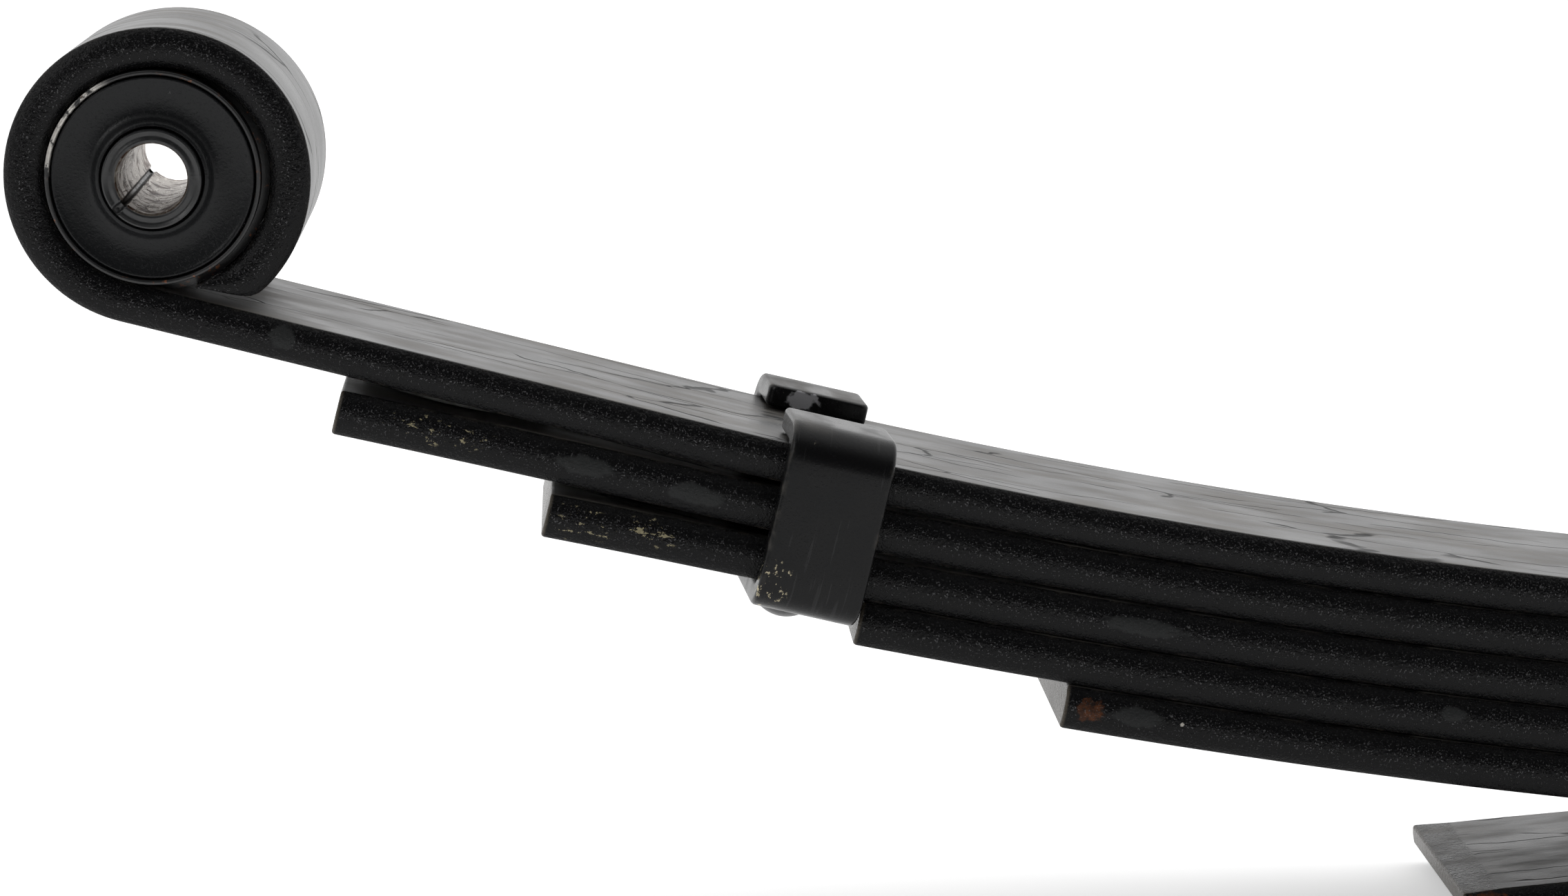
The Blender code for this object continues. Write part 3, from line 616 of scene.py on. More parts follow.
def make_sleeve(name, end):
    """A steel tube rolled from sheet: ridged end faces and a seam along its bore, as a narrow groove."""
    face = BAR_WIDTH / 2 + SLEEVE_PROUD
    outer = SLEEVE_BORE + SLEEVE_WALL
    # the ridged end face, as tenths of a millimetre out from the bore and back from the face
    ridges = [(0, 16), (1, 8), (3, 3), (7, 1), (11, 2), (15, 5), (19, 5), (23, 2), (26, 0)]
    half = [(SLEEVE_BORE, 0.0)]
    half += [(SLEEVE_BORE + out / 1e4, face - back / 1e4) for out, back in ridges]
    half += [(outer - 0.0001, face - 0.0001), (outer, face - 0.0005), (outer, 0.0)]
    seam_at = SEAM_ANGLE if end < 0 else math.pi - SEAM_ANGLE

    def seam(radius, height, angle):
        off = np.mod(angle - seam_at + math.pi, 2 * math.pi) - math.pi
        depth = np.exp(-((off * SLEEVE_BORE / SEAM_HALF) ** 4))
        inside = radius < SLEEVE_BORE + 0.0004
        on_end = (np.abs(height) > face - 0.0010) & (radius < outer - 0.0003)
        radius = radius + np.where(inside, SEAM_DEPTH, 0.0) * depth
        return radius, height - np.where(on_end, np.sign(height) * SEAM_NOTCH, 0.0) * depth

    piece = revolve(name + "_sleeve_tube", mirrored(half), eye_axes(end), 320, True, seam)
    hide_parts(name + "_sleeve")
    return piece


# Centre bolt and nut.


def make_bolt():
    """Round head below, shank, and a thread whose radius is a triangle wave of height less the turn made."""
    seat = SEAT_Z - OVERLOAD_TOP - BAR_THICKNESS - GAP
    radius, height = BOLT_HEAD
    top = SEAT_Z + GAP + NUT_HEIGHT + BOLT_OVERHANG
    thread_low = SEAT_Z + GAP
    corners = [(AXIS_RADIUS, seat - height), (radius, seat - height), (radius, seat)]
    head = rounded(corners, [0, 0.0009, 0.0003])
    thread = np.arange(thread_low, top - 0.0008, THREAD_PITCH / 10)
    profile = [*head, (BOLT_RADIUS, seat), (BOLT_RADIUS, thread_low - 0.0005)]
    profile += [(BOLT_RADIUS, level) for level in thread]
    profile += [(BOLT_RADIUS - 0.0003, top - 0.0004), (BOLT_RADIUS - 0.0009, top), (AXIS_RADIUS, top)]

    def thread_cut(radius, height, angle):
        turns = height / THREAD_PITCH - angle / (2 * math.pi)
        wave = np.abs(np.mod(turns, 1.0) * 2 - 1)
        cut = THREAD_DEPTH * np.clip(wave * 1.3 - 0.1, 0, 1)
        on_thread = (height > thread_low) & (height < top - 0.0007) & (radius > BOLT_RADIUS - 1e-6)
        return radius - np.where(on_thread, cut, 0.0), height

    axes = (np.zeros(3), np.eye(3))
    piece = revolve("centre_bolt_threaded", profile, axes, 72, shape=thread_cut)
    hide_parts("centre_bolt")
    return piece


def make_nut():
    """A hexagon whose top and bottom a cone bevels: the height falls with the radius past the flats."""
    flats = NUT_FLATS / 2
    low = SEAT_Z + GAP
    top = low + NUT_HEIGHT
    bore = BOLT_RADIUS + 0.0003
    share = np.concatenate([np.linspace(0.0, 0.9, 7), np.linspace(0.94, 1.0, 4)])
    rise = np.linspace(1, 0, 5)[1:-1]
    # a profile point is (share of the way from the bore to the flat, level from 0 to 1)
    profile = [(0.0, level) for level in (0.0, 0.5)] + [(part, 1.0) for part in share]
    profile += [(1.0, level) for level in rise] + [(part, 0.0) for part in share[:0:-1]]

    def hexagon(part, level, angle):
        side = np.mod(angle + math.pi / 6, math.pi / 3) - math.pi / 6
        rim = flats / np.cos(side)
        radius = bore + (rim - bore) * part
        bevel = np.maximum(radius - 0.97 * flats, 0.0) * math.tan(math.radians(30))
        countersink = np.maximum(bore + 0.0005 - radius, 0.0)
        cut = bevel + countersink
        height = low + cut + (top - low - 2 * cut) * level
        return radius, height

    piece = revolve("centre_nut_hex", profile, (np.zeros(3), np.eye(3)), 144, True, hexagon)
    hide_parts("centre_nut")
    return piece


# Materials.


def feed(tree, socket, value):
    """Link a socket to another node's socket, or set its own value."""
    if isinstance(value, bpy.types.NodeSocket):
        tree.links.new(value, socket)
    else:
        socket.default_value = value


def add(tree, kind, inputs=None, **settings):
    """A node with its settings and inputs."""
    made = tree.nodes.new(kind)
    for name, value in settings.items():
        setattr(made, name, value)
    for name, value in (inputs or {}).items():
        feed(tree, made.inputs[name], value)
    return made


def calc(tree, operation, *values, clamp=False):
    made = add(tree, "ShaderNodeMath", dict(enumerate(values)), operation=operation, use_clamp=clamp)
    return made.outputs[0]


def times(tree, first, second):
    return calc(tree, "MULTIPLY", first, second)


def times_plus(tree, value, factor, more):
    return calc(tree, "MULTIPLY_ADD", value, factor, more)


def opposite(tree, mask):
    return calc(tree, "SUBTRACT", 1.0, mask)


def vector_calc(tree, operation, *values):
    made = add(tree, "ShaderNodeVectorMath", dict(enumerate(values)), operation=operation)
    return made.outputs["Value" if operation == "LENGTH" else "Vector"]


def split(tree, vector):
    return add(tree, "ShaderNodeSeparateXYZ", {"Vector": vector}).outputs


def step_up(tree, value, low, high):
    """0 below low, 1 above high, and a smooth step between."""
    limits = {"Value": value, "From Min": low, "From Max": high}
    return add(tree, "ShaderNodeMapRange", limits, interpolation_type="SMOOTHSTEP").outputs["Result"]


def noise(tree, place, scale, detail=3.0, roughness=0.5):
    inputs = {"Vector": place, "Scale": scale, "Detail": detail, "Roughness": roughness}
    return add(tree, "ShaderNodeTexNoise", inputs).outputs["Fac"]


def stretched(tree, place, along, across, up):
    return vector_calc(tree, "MULTIPLY", place, (along, across, up))


def mix_colour(tree, share, first, second):
    made = add(tree, "ShaderNodeMix", {0: share, 6: first, 7: second}, data_type="RGBA")
    return made.outputs[2]


def tint(tree, mask, share, colour, other):
    """A share of another colour over a colour, where the mask is."""
    return mix_colour(tree, times(tree, mask, share), colour, other)


def bump(tree, height, strength, distance, normal=None):
    inputs = {"Height": height, "Strength": strength, "Distance": distance}
    if normal:
        inputs["Normal"] = normal
    return add(tree, "ShaderNodeBump", inputs).outputs["Normal"]


def new_group(name, inputs, outputs=None):
    """An empty node group and its two end nodes. It takes a place and the given inputs, numbers or vectors by
    their defaults, and puts out the given kinds of socket, or else one mask."""
    tree = bpy.data.node_groups.new(name, "ShaderNodeTree")
    for label, default in {"Place": None, **inputs}.items():
        kind = "Float" if isinstance(default, float) else "Vector"
        socket = tree.interface.new_socket(label, in_out="INPUT", socket_type="NodeSocket" + kind)
        if default is not None:
            socket.default_value = default
    for label, kind in (outputs or {"Mask": "Float"}).items():
        tree.interface.new_socket(label, in_out="OUTPUT", socket_type="NodeSocket" + kind)
    return tree, tree.nodes.new("NodeGroupInput").outputs, tree.nodes.new("NodeGroupOutput").inputs


def grain_group():
    """Painted rolled steel: a fine orange peel with single raised specks."""
    tree, given, result = new_group("paint_grain", {}, {"Height": "Float", "Speck": "Float"})
    peel = noise(tree, given["Place"], 700.0, 2.0)
    fine = noise(tree, given["Place"], 1700.0, 2.0, 0.6)
    speck = step_up(tree, noise(tree, given["Place"], 2500.0, 1.0), 0.60, 0.70)
    rough = times_plus(tree, fine, 0.55, times(tree, peel, 0.45))
    tree.links.new(times_plus(tree, speck, 0.4, rough), result["Height"])
    tree.links.new(speck, result["Speck"])
    return tree


def crack_group():
    """Mill scale: long thin closed lines, seen in some stretches only."""
    tree, given, result = new_group("mill_scale_lines", {"Amount": 0.4})
    warp = add(tree, "ShaderNodeTexNoise", {"Vector": given["Place"], "Scale": 60.0, "Detail": 3.0})
    bent = vector_calc(tree, "MULTIPLY_ADD", warp.outputs["Color"], (0.03, 0.006, 0.0), given["Place"])
    cells = {"Vector": stretched(tree, bent, 16.0, 85.0, 10.0), "Scale": 1.0}
    edge = add(tree, "ShaderNodeTexVoronoi", cells, feature="DISTANCE_TO_EDGE").outputs["Distance"]
    line = opposite(tree, step_up(tree, edge, 0.004, 0.022))
    wide = noise(tree, stretched(tree, given["Place"], 26.0, 60.0, 20.0), 1.0, 2.0)
    low = calc(tree, "SUBTRACT", 0.85, given["Amount"])
    high = calc(tree, "SUBTRACT", 0.93, given["Amount"])
    tree.links.new(times(tree, line, step_up(tree, wide, low, high)), result["Mask"])
    return tree


def scratch_group():
    """Fine lines along the first axis of the place, denser with the amount."""
    tree, given, result = new_group("scratches", {"Length": 30.0, "Width": 1500.0, "Amount": 0.3})
    sizes = {"X": given["Length"], "Y": given["Width"], "Z": given["Width"]}
    scale = add(tree, "ShaderNodeCombineXYZ", sizes)
    drawn_out = vector_calc(tree, "MULTIPLY", given["Place"], scale.outputs["Vector"])
    broken = noise(tree, given["Place"], 70.0, 2.0)
    both = times_plus(tree, broken, 0.35, noise(tree, drawn_out, 1.0, 3.0, 0.6))
    low = calc(tree, "SUBTRACT", 0.90, times(tree, given["Amount"], 0.3))
    tree.links.new(step_up(tree, both, low, calc(tree, "ADD", low, 0.09)), result["Mask"])
    return tree


def patch_group():
    """An uneven spot: 1 near its centre, 0 past its reach, with a ragged rim."""
    inputs = {"Centre": None, "Reach": (0.01, 0.01, 0.01), "Ragged": 0.5}
    tree, given, result = new_group("patch", inputs)
    away = vector_calc(tree, "SUBTRACT", given["Place"], given["Centre"])
    size = vector_calc(tree, "LENGTH", vector_calc(tree, "DIVIDE", away, given["Reach"]))
    rim = calc(tree, "SUBTRACT", noise(tree, given["Place"], 420.0, 3.0), 0.5)
    ragged = times_plus(tree, times(tree, rim, given["Ragged"]), 2.4, size)
    tree.links.new(opposite(tree, step_up(tree, ragged, 0.72, 1.05)), result["Mask"])
    return tree


def fleck_group():
    """Small hard flakes and short nicks, as where paint has chipped off or been rubbed."""
    tree, given, result = new_group("flecks", {"Density": 0.3, "Size": 700.0})
    fine = noise(tree, given["Place"], given["Size"], 4.0, 0.7)
    low = calc(tree, "SUBTRACT", 0.74, times(tree, given["Density"], 0.3))
    tree.links.new(step_up(tree, fine, low, calc(tree, "ADD", low, 0.03)), result["Mask"])
    return tree


def corner_wear_group():
    """Paint worn along the corners of a bar: a band round them, broken up by noise."""
    tree, given, result = new_group("corner_wear", {"Across": 0.03, "Up": 0.0045, "Reach": 0.0005})
    parts = split(tree, given["Place"])
    side = calc(tree, "SUBTRACT", calc(tree, "ABSOLUTE", parts["Y"]), given["Across"])
    face = calc(tree, "SUBTRACT", calc(tree, "ABSOLUTE", parts["Z"]), given["Up"])
    away = calc(tree, "SQRT", calc(tree, "ADD", times(tree, side, side), times(tree, face, face)))
    near = calc(tree, "SUBTRACT", 1.0, calc(tree, "DIVIDE", away, given["Reach"]), clamp=True)
    broken = times_plus(tree, noise(tree, given["Place"], 260.0, 4.0, 0.65), 1.6, -0.75)
    tree.links.new(calc(tree, "MULTIPLY", near, broken, clamp=True), result["Mask"])
    return tree


def rust_group():
    """Rust colours, from dark brown to orange."""
    tree, given, result = new_group("rust", {}, {"Colour": "Color", "Height": "Float"})
    blend = noise(tree, given["Place"], 900.0, 4.0, 0.65)
    ramp = add(tree, "ShaderNodeValToRGB", {"Fac": blend})
    low, high = ramp.color_ramp.elements
    low.position, low.color = 0.35, (0.030, 0.014, 0.008, 1)
    high.position, high.color = 0.68, (0.36, 0.105, 0.022, 1)
    tree.links.new(ramp.outputs["Color"], result["Colour"])
    tree.links.new(blend, result["Height"])
    return tree


def dust_group():
    """Pale dust on faces that look up."""
    tree, given, result = new_group("dust", {"Normal": None, "Amount": 0.3})
    facing = step_up(tree, split(tree, given["Normal"])["Z"], 0.75, 0.98)
    wide = noise(tree, stretched(tree, given["Place"], 45.0, 160.0, 160.0), 1.0, 4.0)
    cloud = step_up(tree, wide, 0.38, 0.72)
    tree.links.new(times(tree, times(tree, facing, cloud), given["Amount"]), result["Mask"])
    return tree


GROUPS = {
    "grain": grain_group(),
    "lines": crack_group(),
    "scratches": scratch_group(),
    "patch": patch_group(),
    "flecks": fleck_group(),
    "wear": corner_wear_group(),
    "rust": rust_group(),
    "dust": dust_group(),
}


def use(tree, group, **inputs):
    """The outputs of one of the shared groups, with its inputs given by name."""
    return add(tree, "ShaderNodeGroup", inputs, node_tree=GROUPS[group]).outputs


def mask_of(tree, group, **inputs):
    return use(tree, group, **inputs)["Mask"]


def dust_on(tree, place, amount):
    normal = add(tree, "ShaderNodeNewGeometry").outputs["Normal"]
    return mask_of(tree, "dust", Place=place, Normal=normal, Amount=amount)


def bar_place(tree):
    return add(tree, "ShaderNodeAttribute", attribute_name="bar").outputs["Vector"]


def object_place(tree):
    return add(tree, "ShaderNodeTexCoord").outputs["Object"]


def new_material(name):
    made = bpy.data.materials.new(name)
    made.use_nodes = True
    return made, made.node_tree, made.node_tree.nodes["Principled BSDF"]


def plug(tree, shader, **inputs):
    for name, value in inputs.items():
        feed(tree, shader.inputs[name.replace("_", " ")], value)


def dress(piece, finish, slot, body):
    piece.data.materials.clear()
    piece.data.materials.append(finish)
    if slot:
        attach(piece, body)


# Marks on the leaves: kind, distance from the front eye's axis, height on the side, half length, half height.
SIDE_MARKS = {
    "main_leaf": [("smudge", 0.0215, 0.0008, 0.0030, 0.0026)],
    "second_leaf": [
        ("chips", 0.0560, 0.0004, 0.0130, 0.0030),
        ("smudge", 0.0860, 0.0004, 0.0065, 0.0022),
        ("smudge", 0.1085, -0.0004, 0.0065, 0.0024),
    ],
    "third_leaf": [
        ("chips", 0.0880, 0.0000, 0.0075, 0.0042),
        ("chips", 0.1020, 0.0010, 0.0060, 0.0030),
        ("smudge", 0.2040, 0.0004, 0.0090, 0.0020),
    ],
    "fourth_leaf": [("smudge", 0.2700, 0.0010, 0.0030, 0.0018)],
    "fifth_leaf": [
        ("rust", 0.1965, 0.0002, 0.0030, 0.0024),
        ("smudge", 0.2060, 0.0006, 0.0060, 0.0022),
        ("speck", 0.2153, 0.0006, 0.0006, 0.0007),
    ],
    "overload_leaf": [("rust", 0.2740, 0.0010, 0.0040, 0.0030)],
}
# How ragged each kind of mark is, how much of it covers the paint, and its colour.
MARK_LOOKS = {
    "smudge": (0.35, 0.8, (0.020, 0.021, 0.021, 1)),
    "speck": (1.0, 1.0, (0.42, 0.40, 0.36, 1)),
    "chips": (0.6, 0.85, (0.27, 0.24, 0.15, 1)),
    "rust": (1.0, 0.22, None),
}


def leaf_finish(node, thickness):
    """Black satin paint over rolled steel, laid out in the straight bar: grain all over, mill-scale lines,
    dust and fine scratches on the flat faces, worn corners, painted glints on the grain's specks (strongest
    in a band across the middle of each side) and each leaf's own marks on its front side."""
    finish, tree, paint = new_material(node + "_paint")
    place = bar_place(tree)
    grain = use(tree, "grain", Place=place)
    lines = mask_of(tree, "lines", Place=place, Amount=0.40 if node == "main_leaf" else 0.42)
    rubs = mask_of(tree, "scratches", Place=place, Length=26.0, Width=900.0, Amount=0.45)
    parts = split(tree, place)
    on_face = step_up(tree, calc(tree, "ABSOLUTE", parts["Z"]), thickness * 0.47, thickness * 0.495)
    dust = dust_on(tree, place, 0.75)
    corner = BAR_WIDTH / 2 - SIDE_SWELL * thickness
    wear = mask_of(tree, "wear", Place=place, Across=corner, Up=thickness / 2, Reach=0.0009)
    colour = mix_colour(tree, dust, PAINT_BLACK, (0.150, 0.139, 0.124, 1))
    if node == "overload_leaf":
        brown = step_up(tree, noise(tree, place, 90.0, 4.0, 0.6), 0.40, 0.66)
        colour = tint(tree, brown, on_face, colour, (0.034, 0.026, 0.018, 1))
        stain = mask_of(tree, "scratches", Place=place, Length=22.0, Width=420.0, Amount=0.75)
        colour = tint(tree, stain, 0.6, colour, (0.006, 0.006, 0.006, 1))
    colour = tint(tree, rubs, times(tree, on_face, 0.30), colour, (0.09, 0.086, 0.08, 1))
    colour = tint(tree, wear, 0.7, colour, (0.085, 0.072, 0.058, 1))
    # Painted glints: the grain's raised specks are real, but their lighter grey is painted glint, strong in a
    # band across the middle of each side and faint elsewhere.
    level = calc(tree, "DIVIDE", parts["Z"], thickness)
    below_top = opposite(tree, step_up(tree, level, 0.12, 0.40))
    band = times(tree, step_up(tree, level, -0.34, -0.05), below_top)
    painted_glint_specks = times(tree, grain["Speck"], times_plus(tree, band, 0.75, 0.15))
    colour = mix_colour(tree, painted_glint_specks, colour, (0.070, 0.070, 0.072, 1))
    groove = times(tree, lines, on_face)
    colour = mix_colour(tree, groove, colour, (0.002, 0.002, 0.002, 1))
    mild = times_plus(tree, noise(tree, place, 55.0, 4.0), 0.16, 0.18)
    roughness = times_plus(tree, dust, 0.25, times_plus(tree, on_face, 0.06, mild))
    roughness = times_plus(tree, groove, 0.22, roughness)
    for kind, from_eye, height, half_length, half_height in SIDE_MARKS[node]:
        ragged, share, mark_colour = MARK_LOOKS[kind]
        along = -distance_of(EYE_X - from_eye, lambda run: MARK_DEPTH + 0 * run)
        centre = (along, MARK_INSET - BAR_WIDTH / 2, height)
        reach = (half_length, 0.003, half_height)
        mask = mask_of(tree, "patch", Place=place, Centre=centre, Reach=reach, Ragged=ragged)
        if kind == "chips":
            longer = stretched(tree, place, 0.5, 1.0, 1.0)
            mask = times(tree, mask, mask_of(tree, "flecks", Place=longer, Density=0.50, Size=900.0))
        if kind == "rust":
            mark_colour = use(tree, "rust", Place=place)["Colour"]
        colour = tint(tree, mask, share, colour, mark_colour)
        roughness = times_plus(tree, mask, 0.15, roughness)
    run = calc(tree, "ABSOLUTE", parts["X"])
    tip = step_up(tree, run, LEAF_TIPS[node] - 0.0009, LEAF_TIPS[node] - 0.0002)
    fine = noise(tree, place, 700.0, 4.0, 0.7)
    bare = mix_colour(tree, fine, (0.020, 0.018, 0.015, 1), (0.13, 0.11, 0.085, 1))
    colour = tint(tree, tip, 0.75, colour, bare)
    normal = bump(tree, opposite(tree, groove), 0.7, 0.0003)
    normal = bump(tree, grain["Height"], times_plus(tree, on_face, -0.62, 0.75), 0.0005, normal)
    gloss = times_plus(tree, on_face, 0.16, 1.22)
    plug(tree, paint, Base_Color=colour, Roughness=roughness, Normal=normal, IOR=gloss)
    return finish


def strap_finish():
    """Clip paint: smoother than the leaves', scratched down the arms, chipped at the near arm's lower bend
    and on the cut end of the far tab."""
    finish, tree, paint = new_material("clip_paint_worn")
    place = bar_place(tree)
    grain = use(tree, "grain", Place=place)
    drawn = mask_of(tree, "scratches", Place=place, Length=90.0, Width=1100.0, Amount=0.36)
    chips = mask_of(tree, "flecks", Place=place, Density=0.10, Size=420.0)
    wear = mask_of(tree, "wear", Place=place, Across=CLIP_WIDTH / 2, Up=CLIP_THICKNESS / 2, Reach=0.0013)
    dust = dust_on(tree, place, 0.6)
    cloud = step_up(tree, noise(tree, place, 130.0, 4.0), 0.45, 0.75)
    colour = tint(tree, cloud, 0.5, PAINT_BLACK, (0.0075, 0.0082, 0.0088, 1))
    colour = tint(tree, drawn, 0.22, colour, (0.05, 0.05, 0.052, 1))
    colour = mix_colour(tree, dust, colour, (0.075, 0.068, 0.060, 1))
    colour = mix_colour(tree, wear, colour, (0.15, 0.135, 0.115, 1))
    colour = tint(tree, chips, 0.5, colour, (0.30, 0.27, 0.21, 1))
    dense = mask_of(tree, "flecks", Place=place, Density=0.50, Size=900.0)
    bend = (CLIP_LOWER_BEND, -CLIP_WIDTH * 0.40, CLIP_THICKNESS / 2)
    low = mask_of(tree, "patch", Place=place, Centre=bend, Reach=(0.0055, 0.0042, 0.0050), Ragged=0.8)
    tab_end = {"Centre": (0.0, -0.0035, 0.0005), "Reach": (0.0012, 0.0036, 0.0020)}
    cut = mask_of(tree, "patch", Place=place, Ragged=0.9, **tab_end)
    colour = tint(tree, low, dense, colour, (0.42, 0.37, 0.25, 1))
    colour = mix_colour(tree, cut, colour, (0.26, 0.26, 0.27, 1))
    roughness = times_plus(tree, dust, 0.3, times_plus(tree, cloud, 0.12, 0.27))
    normal = bump(tree, grain["Height"], 0.22, 0.0002)
    plug(tree, paint, Base_Color=colour, Roughness=roughness, Normal=normal, IOR=1.28)
    return finish


def fastener_finish(name, base, roughness):
    """Black oxide on turned parts: faint grain, dust on top and lightly worn edges."""
    finish, tree, paint = new_material(name)
    place = object_place(tree)
    grain = use(tree, "grain", Place=place)
    flakes = mask_of(tree, "flecks", Place=place, Density=0.15, Size=500.0)
    colour = mix_colour(tree, dust_on(tree, place, 0.35), base, (0.07, 0.066, 0.06, 1))
    colour = tint(tree, flakes, 0.4, colour, (0.14, 0.12, 0.10, 1))
    normal = bump(tree, grain["Height"], 0.25, 0.0002)
    plug(tree, paint, Base_Color=colour, Roughness=roughness, Normal=normal)
    return finish


def around_eye(tree, end):
    """Place about an eye's axis, how far out it is, and its angle from inboard towards up, from -pi to pi."""
    local = vector_calc(tree, "SUBTRACT", object_place(tree), (end * EYE_X, 0.0, EYE_Z))
    parts = split(tree, local)
    radius = vector_calc(tree, "LENGTH", stretched(tree, local, 1.0, 0.0, 1.0))
    return local, radius, calc(tree, "ARCTAN2", parts["Z"], times(tree, parts["X"], -end))


def shell_finish(end):
    """Painted rim, chipped to bright metal over one arc on its outboard upper side, with rust at its edge."""
    finish, tree, paint = new_material("shell_rim_" + ("rear" if end > 0 else "front"))
    local, _, angle = around_eye(tree, end)
    upper = step_up(tree, calc(tree, "SINE", angle), -0.05, 0.15)
    outboard = step_up(tree, calc(tree, "ABSOLUTE", angle), 1.95, 2.15)
    broken = step_up(tree, noise(tree, local, 330.0, 4.0, 0.65), 0.44, 0.52)
    bare = times(tree, times(tree, upper, outboard), broken)
    rust = use(tree, "rust", Place=local)
    spots = mask_of(tree, "flecks", Place=local, Density=0.42, Size=380.0)
    colour = tint(tree, spots, 0.5, PAINT_BLACK, rust["Colour"])
    fine = noise(tree, local, 800.0, 3.0)
    steel = mix_colour(tree, fine, (0.20, 0.19, 0.175, 1), (0.62, 0.60, 0.56, 1))
    colour = mix_colour(tree, bare, colour, steel)
    normal = bump(tree, calc(tree, "ADD", bare, rust["Height"]), 0.3, 0.0002)
    plug(tree, paint, Base_Color=colour, Roughness=0.38, Metallic=times(tree, bare, 0.75), Normal=normal)
    return finish


def rubber_finish(end):
    """Painted-over rubber: smooth, with faint rings about the axis."""
    finish, tree, paint = new_material("disc_paint_" + ("rear" if end > 0 else "front"))
    local, radius, angle = around_eye(tree, end)
    grain = use(tree, "grain", Place=local)
    turned = {"X": times(tree, radius, 2200.0), "Y": times(tree, angle, 1.2)}
    rings = noise(tree, add(tree, "ShaderNodeCombineXYZ", turned).outputs[0], 1.0, 2.0)
    marks = mask_of(tree, "flecks", Place=local, Density=0.10, Size=600.0)
    colour = tint(tree, marks, 0.35, (0.0068, 0.0072, 0.0078, 1), (0.10, 0.10, 0.10, 1))
    normal = bump(tree, rings, 0.10, 0.0002)
    normal = bump(tree, grain["Height"], 0.35, 0.0003, normal)
    plug(tree, paint, Base_Color=colour, Roughness=0.30, Normal=normal, IOR=1.28)
    return finish


def sleeve_finish(end):
    """Bare worn steel in the bore, black paint on the end faces and outside."""
    finish, tree, paint = new_material("sleeve_steel_" + ("rear" if end > 0 else "front"))
    local, radius, angle = around_eye(tree, end)
    bore = opposite(tree, step_up(tree, radius, SLEEVE_BORE + 0.0001, SLEEVE_BORE + 0.0004))
    grain = use(tree, "grain", Place=local)
    unrolled = {"X": times(tree, angle, 0.0072), "Y": split(tree, local)["Y"]}
    wall = add(tree, "ShaderNodeCombineXYZ", unrolled).outputs[0]
    drawn = mask_of(tree, "scratches", Place=wall, Length=900.0, Width=110.0, Amount=0.6)
    rust = use(tree, "rust", Place=local)
    stain = step_up(tree, noise(tree, local, 260.0, 4.0, 0.7), 0.46, 0.62)
    steel = mix_colour(tree, stain, (0.26, 0.22, 0.18, 1), (0.035, 0.026, 0.020, 1))
    steel = tint(tree, drawn, 0.5, steel, (0.66, 0.62, 0.56, 1))
    steel = tint(tree, stain, 0.25, steel, rust["Colour"])
    colour = mix_colour(tree, bore, (0.008, 0.0085, 0.009, 1), steel)
    relief = calc(tree, "ADD", rust["Height"], drawn)
    normal = bump(tree, relief, times_plus(tree, bore, 0.6, 0.05), 0.0003)
    normal = bump(tree, grain["Height"], 0.15, 0.0002, normal)
    roughness = times_plus(tree, stain, 0.15, 0.33)
    plug(tree, paint, Base_Color=colour, Roughness=roughness, Metallic=times(tree, bore, 0.85), Normal=normal)
    return finish


def pad_finish():
    """Grey plastic, dusty, with faint stains."""
    finish, tree, plastic = new_material("pad_grey_plastic")
    place = object_place(tree)
    stain = step_up(tree, noise(tree, place, 160.0, 4.0, 0.6), 0.35, 0.7)
    colour = mix_colour(tree, stain, (0.30, 0.30, 0.285, 1), (0.13, 0.125, 0.115, 1))
    normal = bump(tree, use(tree, "grain", Place=place)["Height"], 0.2, 0.0002)
    plug(tree, plastic, Base_Color=colour, Roughness=0.5, Normal=normal)
    return finish


# The studio.


def make_floor():
    mesh = bpy.data.meshes.new("floor")
    corners = [(FLOOR_HALF * x, FLOOR_HALF * y, 0) for x, y in ((-1, -1), (1, -1), (1, 1), (-1, 1))]
    mesh.from_pydata(corners, [], [(0, 1, 2, 3)])
    floor = bpy.data.objects.new("floor", mesh)
    bpy.context.scene.collection.objects.link(floor)
    finish, tree, paper = new_material("studio_floor")
    plug(tree, paper, Base_Color=(0.93, 0.93, 0.93, 1), Roughness=0.9, Specular_IOR_Level=0.0,
         Emission_Color=(1, 1, 1, 1), Emission_Strength=FLOOR_GLOW)
    dress(floor, finish, None, None)


def make_studio_light():
    """White sky all round, with a dark card in front of the spring, and a soft light from the front left."""
    world = bpy.data.worlds.new("studio")
    world.use_nodes = True
    tree = world.node_tree
    tree.nodes.clear()
    where = add(tree, "ShaderNodeTexCoord").outputs["Generated"]
    limits = {"Value": split(tree, where)["Y"], "From Min": -0.75, "From Max": 0.15}
    limits.update({"To Min": 0.04, "To Max": 1.3})
    front = add(tree, "ShaderNodeMapRange", limits, interpolation_type="SMOOTHSTEP")
    sky = add(tree, "ShaderNodeBackground", {"Color": (1, 1, 1, 1), "Strength": front.outputs["Result"]})
    add(tree, "ShaderNodeOutputWorld", {"Surface": sky.outputs["Background"]})
    bpy.context.scene.world = world

    lamp = bpy.data.lights.new("front_left_softbox", "AREA")
    lamp.shape = "RECTANGLE"
    lamp.size, lamp.size_y = LAMP_SIZE
    lamp.energy = LAMP_POWER
    stand = bpy.data.objects.new("front_left_softbox", lamp)
    stand.location = (-EYE_X - 1.3, -1.1, EYE_Z + 1.1)
    aim = np.array([-EYE_X + 0.08, 0.0, EYE_Z]) - np.array(stand.location)
    flat = math.hypot(aim[0], aim[1])
    stand.rotation_euler = (math.atan2(flat, -aim[2]), 0.0, math.atan2(aim[1], aim[0]) - math.pi / 2)
    bpy.context.scene.collection.objects.link(stand)


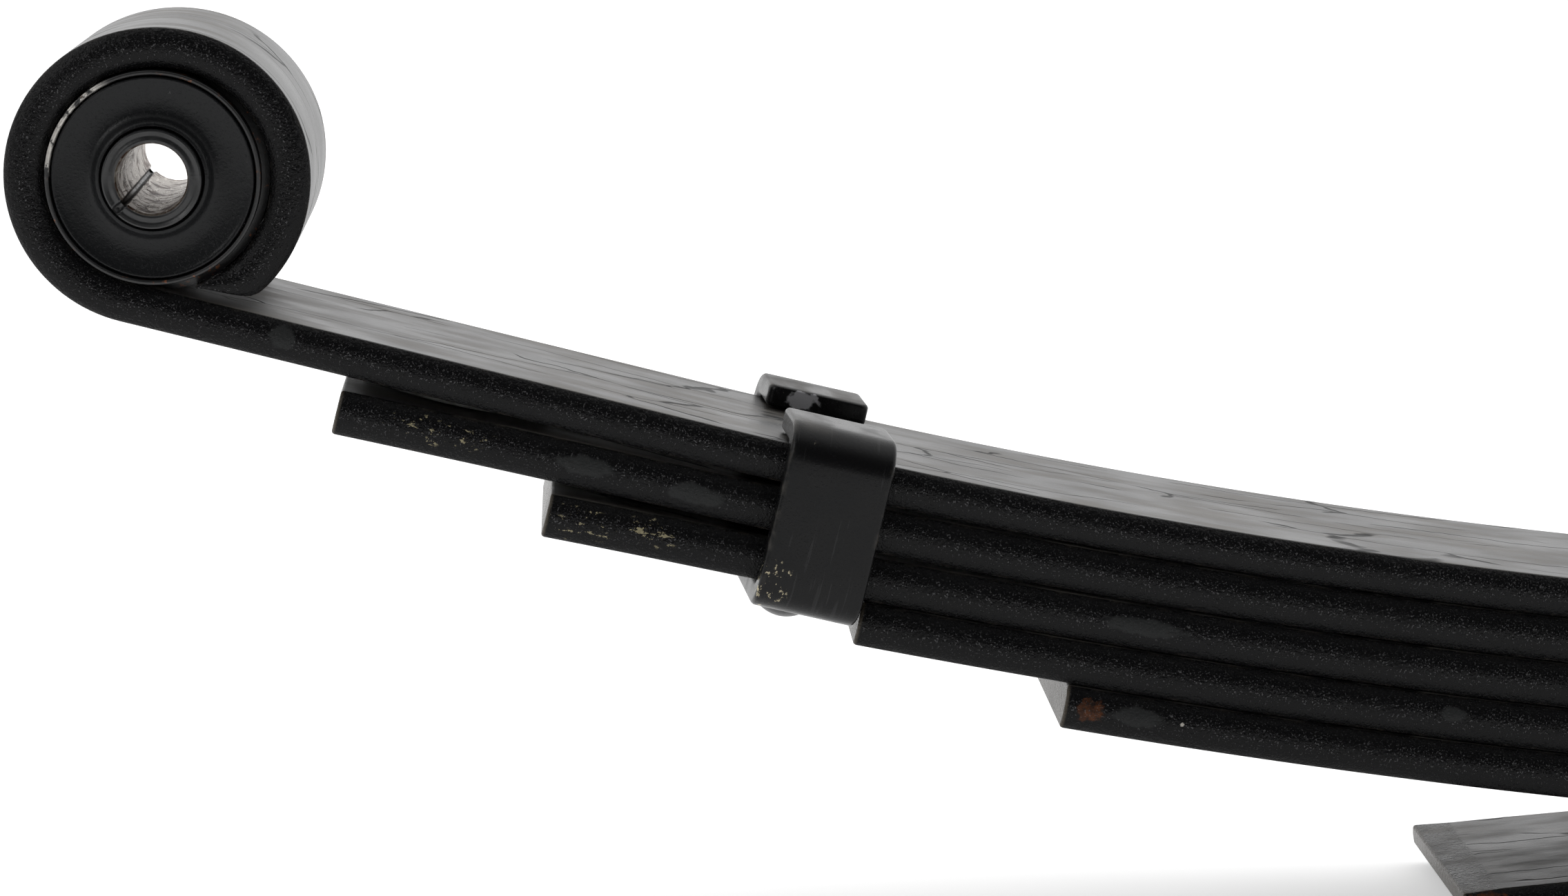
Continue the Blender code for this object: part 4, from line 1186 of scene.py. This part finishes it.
def make_camera():
    camera = bpy.data.cameras.new("camera")
    camera.sensor_width = 36.0
    camera.lens = CAMERA_LENS
    camera.clip_end = 100.0
    stand = bpy.data.objects.new("camera", camera)
    aside, back, above = CAMERA_PLACE
    stand.location = (-EYE_X + aside, back, EYE_Z + above)
    stand.rotation_euler = (math.radians(90 - CAMERA_DOWN), 0.0, math.radians(-CAMERA_RIGHT))
    bpy.context.scene.collection.objects.link(stand)
    bpy.context.scene.camera = stand


# Build.

LEAF_TOPS = {
    "second_leaf": second_top,
    "third_leaf": third_top,
    "fourth_leaf": fourth_top,
    "fifth_leaf": fifth_top,
}
LEAF_TIPS = {node: tip_of(node, top) for node, top in LEAF_TOPS.items()}
LEAF_TIPS["main_leaf"] = 1.0  # past its ends, as they are rolled and have no cut tip
LEAF_TIPS["overload_leaf"] = overload_tip()

leaves = {"main_leaf": make_main_leaf(), "overload_leaf": make_overload()}
leaves.update({node: make_leaf(node, top) for node, top in LEAF_TOPS.items()})
for node, leaf in leaves.items():
    thickness = MAIN_THICKNESS if node == "main_leaf" else BAR_THICKNESS
    dress(leaf, leaf_finish(node, thickness), "leaf_paint", "spring_pack")

clip_black = strap_finish()
fastener_black = fastener_finish("fastener_black", (0.010, 0.010, 0.011, 1), 0.36)
pad_grey = pad_finish()
for end_name, end in (("front", -1), ("rear", 1)):
    dress(make_clip(end_name, end), clip_black, "clip_paint", "spring_pack")
    dress(make_rivet(end_name, end), fastener_black, "fastener_paint", "spring_pack")
    second_pad = make_pad(end_name + "_second_pad", end, SECOND_PAD, second_top, SECOND_PAD_HEAD)
    third_pad = make_pad(end_name + "_third_pad", end, THIRD_PAD, third_top, THIRD_PAD_HEAD)
    dress(second_pad, pad_grey, "pad_plastic", "spring_pack")
    dress(third_pad, pad_grey, "pad_plastic", "spring_pack")
    bushing = end_name + "_bushing"
    dress(make_shell(bushing, end), shell_finish(end), "shell_steel", "spring_pack")
    dress(make_rubber(bushing, end), rubber_finish(end), "bushing_rubber", "spring_pack")
    dress(make_sleeve(bushing, end), sleeve_finish(end), "sleeve_steel", end_name + "_sleeve")
dress(make_bolt(), fastener_black, "fastener_paint", "spring_pack")
dress(make_nut(), fastener_black, "fastener_paint", "spring_pack")

make_floor()
make_studio_light()
make_camera()
bpy.context.scene.view_settings.view_transform = "Standard"
